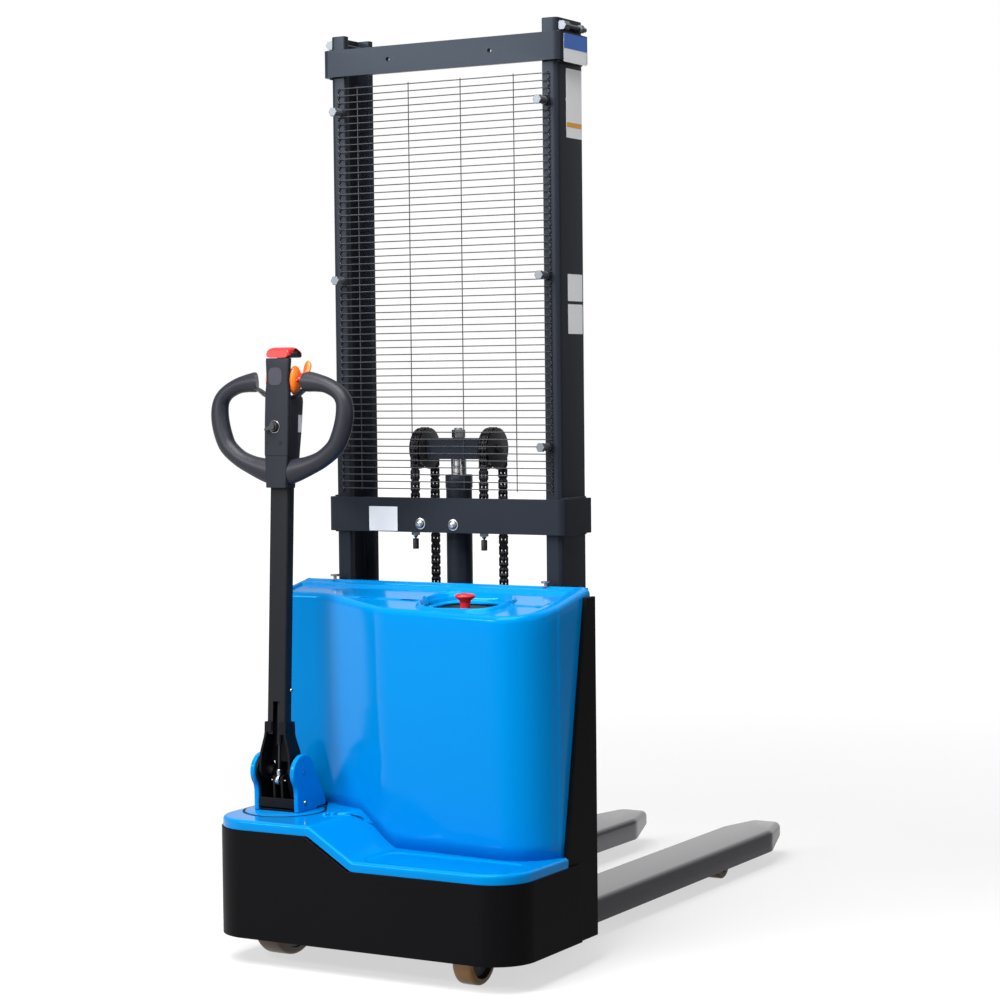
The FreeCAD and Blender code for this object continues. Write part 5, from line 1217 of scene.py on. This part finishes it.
def pebble(at, radii, tip=0.0, bend=0.0, tall=26, count=28):
    """An ellipsoid: its poles lie up and down, it bends along y by the bend times the square of
    its height's share, and is tipped about x by an angle."""
    lat = np.linspace(-np.pi / 2, np.pi / 2, tall)[:, None]
    lon = np.linspace(0, 2 * np.pi, count, endpoint=False)[None]
    x = radii[0] * np.cos(lat) * np.cos(lon)
    y = radii[1] * np.cos(lat) * np.sin(lon) + bend * np.sin(lat) ** 2 + 0 * lon
    z = radii[2] * np.sin(lat) + 0 * lon
    return np.stack([at[0] + x, at[1] + y * np.cos(tip) - z * np.sin(tip),
                     at[2] + y * np.sin(tip) + z * np.cos(tip)], -1), False, True


pads, hubs = [], []
for s in (-1, 1):
    pads += [pebble((pivot_x + s * 31, HEAD_FRONT + 28, 1296), (12, 20, 33)),
             pebble((pivot_x + s * 43, HEAD_BACK + 17, 1325), (10, 4.5, 17), -0.35, -3)]
    hubs += [pebble((pivot_x + s * 38, HEAD_BACK - 4, 1303), (9, 25, 7), 0.45),
             revolved([(0, 5), (6, 5), (7, 6), (7, 45), (5.5, 47), (0, 47)],
                      (pivot_x, HEAD_FRONT + 30, 1298), (s, 0, 0), 24)]
shell("thumb_switch_pads", leaned(*pads), orange, "tiller", 60, ["thumb_butterfly"])
shell("thumb_switch_hubs", leaned(*hubs), cap_red, "tiller", 40)

# ---- key switch and small trim
# Key switch with a plated ring and a black lever, two countersunk screws' wells below it, painted
# as flat dark discs of shade, a flat button above, and a blank white label on the back shell's
# side.
KEY_AT = (pivot_x - 4, HEAD_FRONT, 1191)
shell("key_ring", leaned(revolved([(12.6, -0.5), (12.6, 1.0), (13.2, 1.3), (14.0, 1.0),
                                   (14.0, -0.5), (12.6, -0.5)], KEY_AT, (0, -1, 0), 40)),
      zinc, "tiller", 40)
lever = plate([(KEY_AT[0] - 22, 1185), (KEY_AT[0] - 20, 1182), (KEY_AT[0] - 6, 1184),
               (KEY_AT[0] - 6, 1193), (KEY_AT[0] - 19, 1189)], HEAD_FRONT - 10, HEAD_FRONT - 4, "y")
shell("key_barrel", leaned(
    revolved([(0, 0), (11, 0), (11, 6), (10, 8), (0, 8)], KEY_AT, (0, -1, 0), 32),
    pin(7, 8, 12, KEY_AT, (0, -1, 0), 24), lever),
      black_tub, "tiller", 35)
# two flat dark discs 0.25 mm thick on the front face: painted shade in the screw wells
shell("head_screw_well_shade", leaned(*(
    pin(radius, 0, 0.25, (pivot_x + off, HEAD_FRONT, z), (0, -1, 0), 24)
    for off, z, radius in ((-24, 1155, 2.5), (13, 1154.5, 4.6)))), painted_shade_black, "tiller", 35)
# the flat speed button, a rounded square that stands 0.8 mm proud
shell("speed_button", leaned(panel((pivot_x - 22, 1284), (pivot_x + 14, 1324), HEAD_FRONT + 0.2,
                                   "y", 12, 1.0)), nylon_back, "tiller", 30)
shell("head_side_label", leaned(panel((HEAD_BACK + 1, 1180), (HEAD_BACK + 16, 1219),
                                      pivot_x + 29.6, "x", 1.5)), label_white, "tiller")
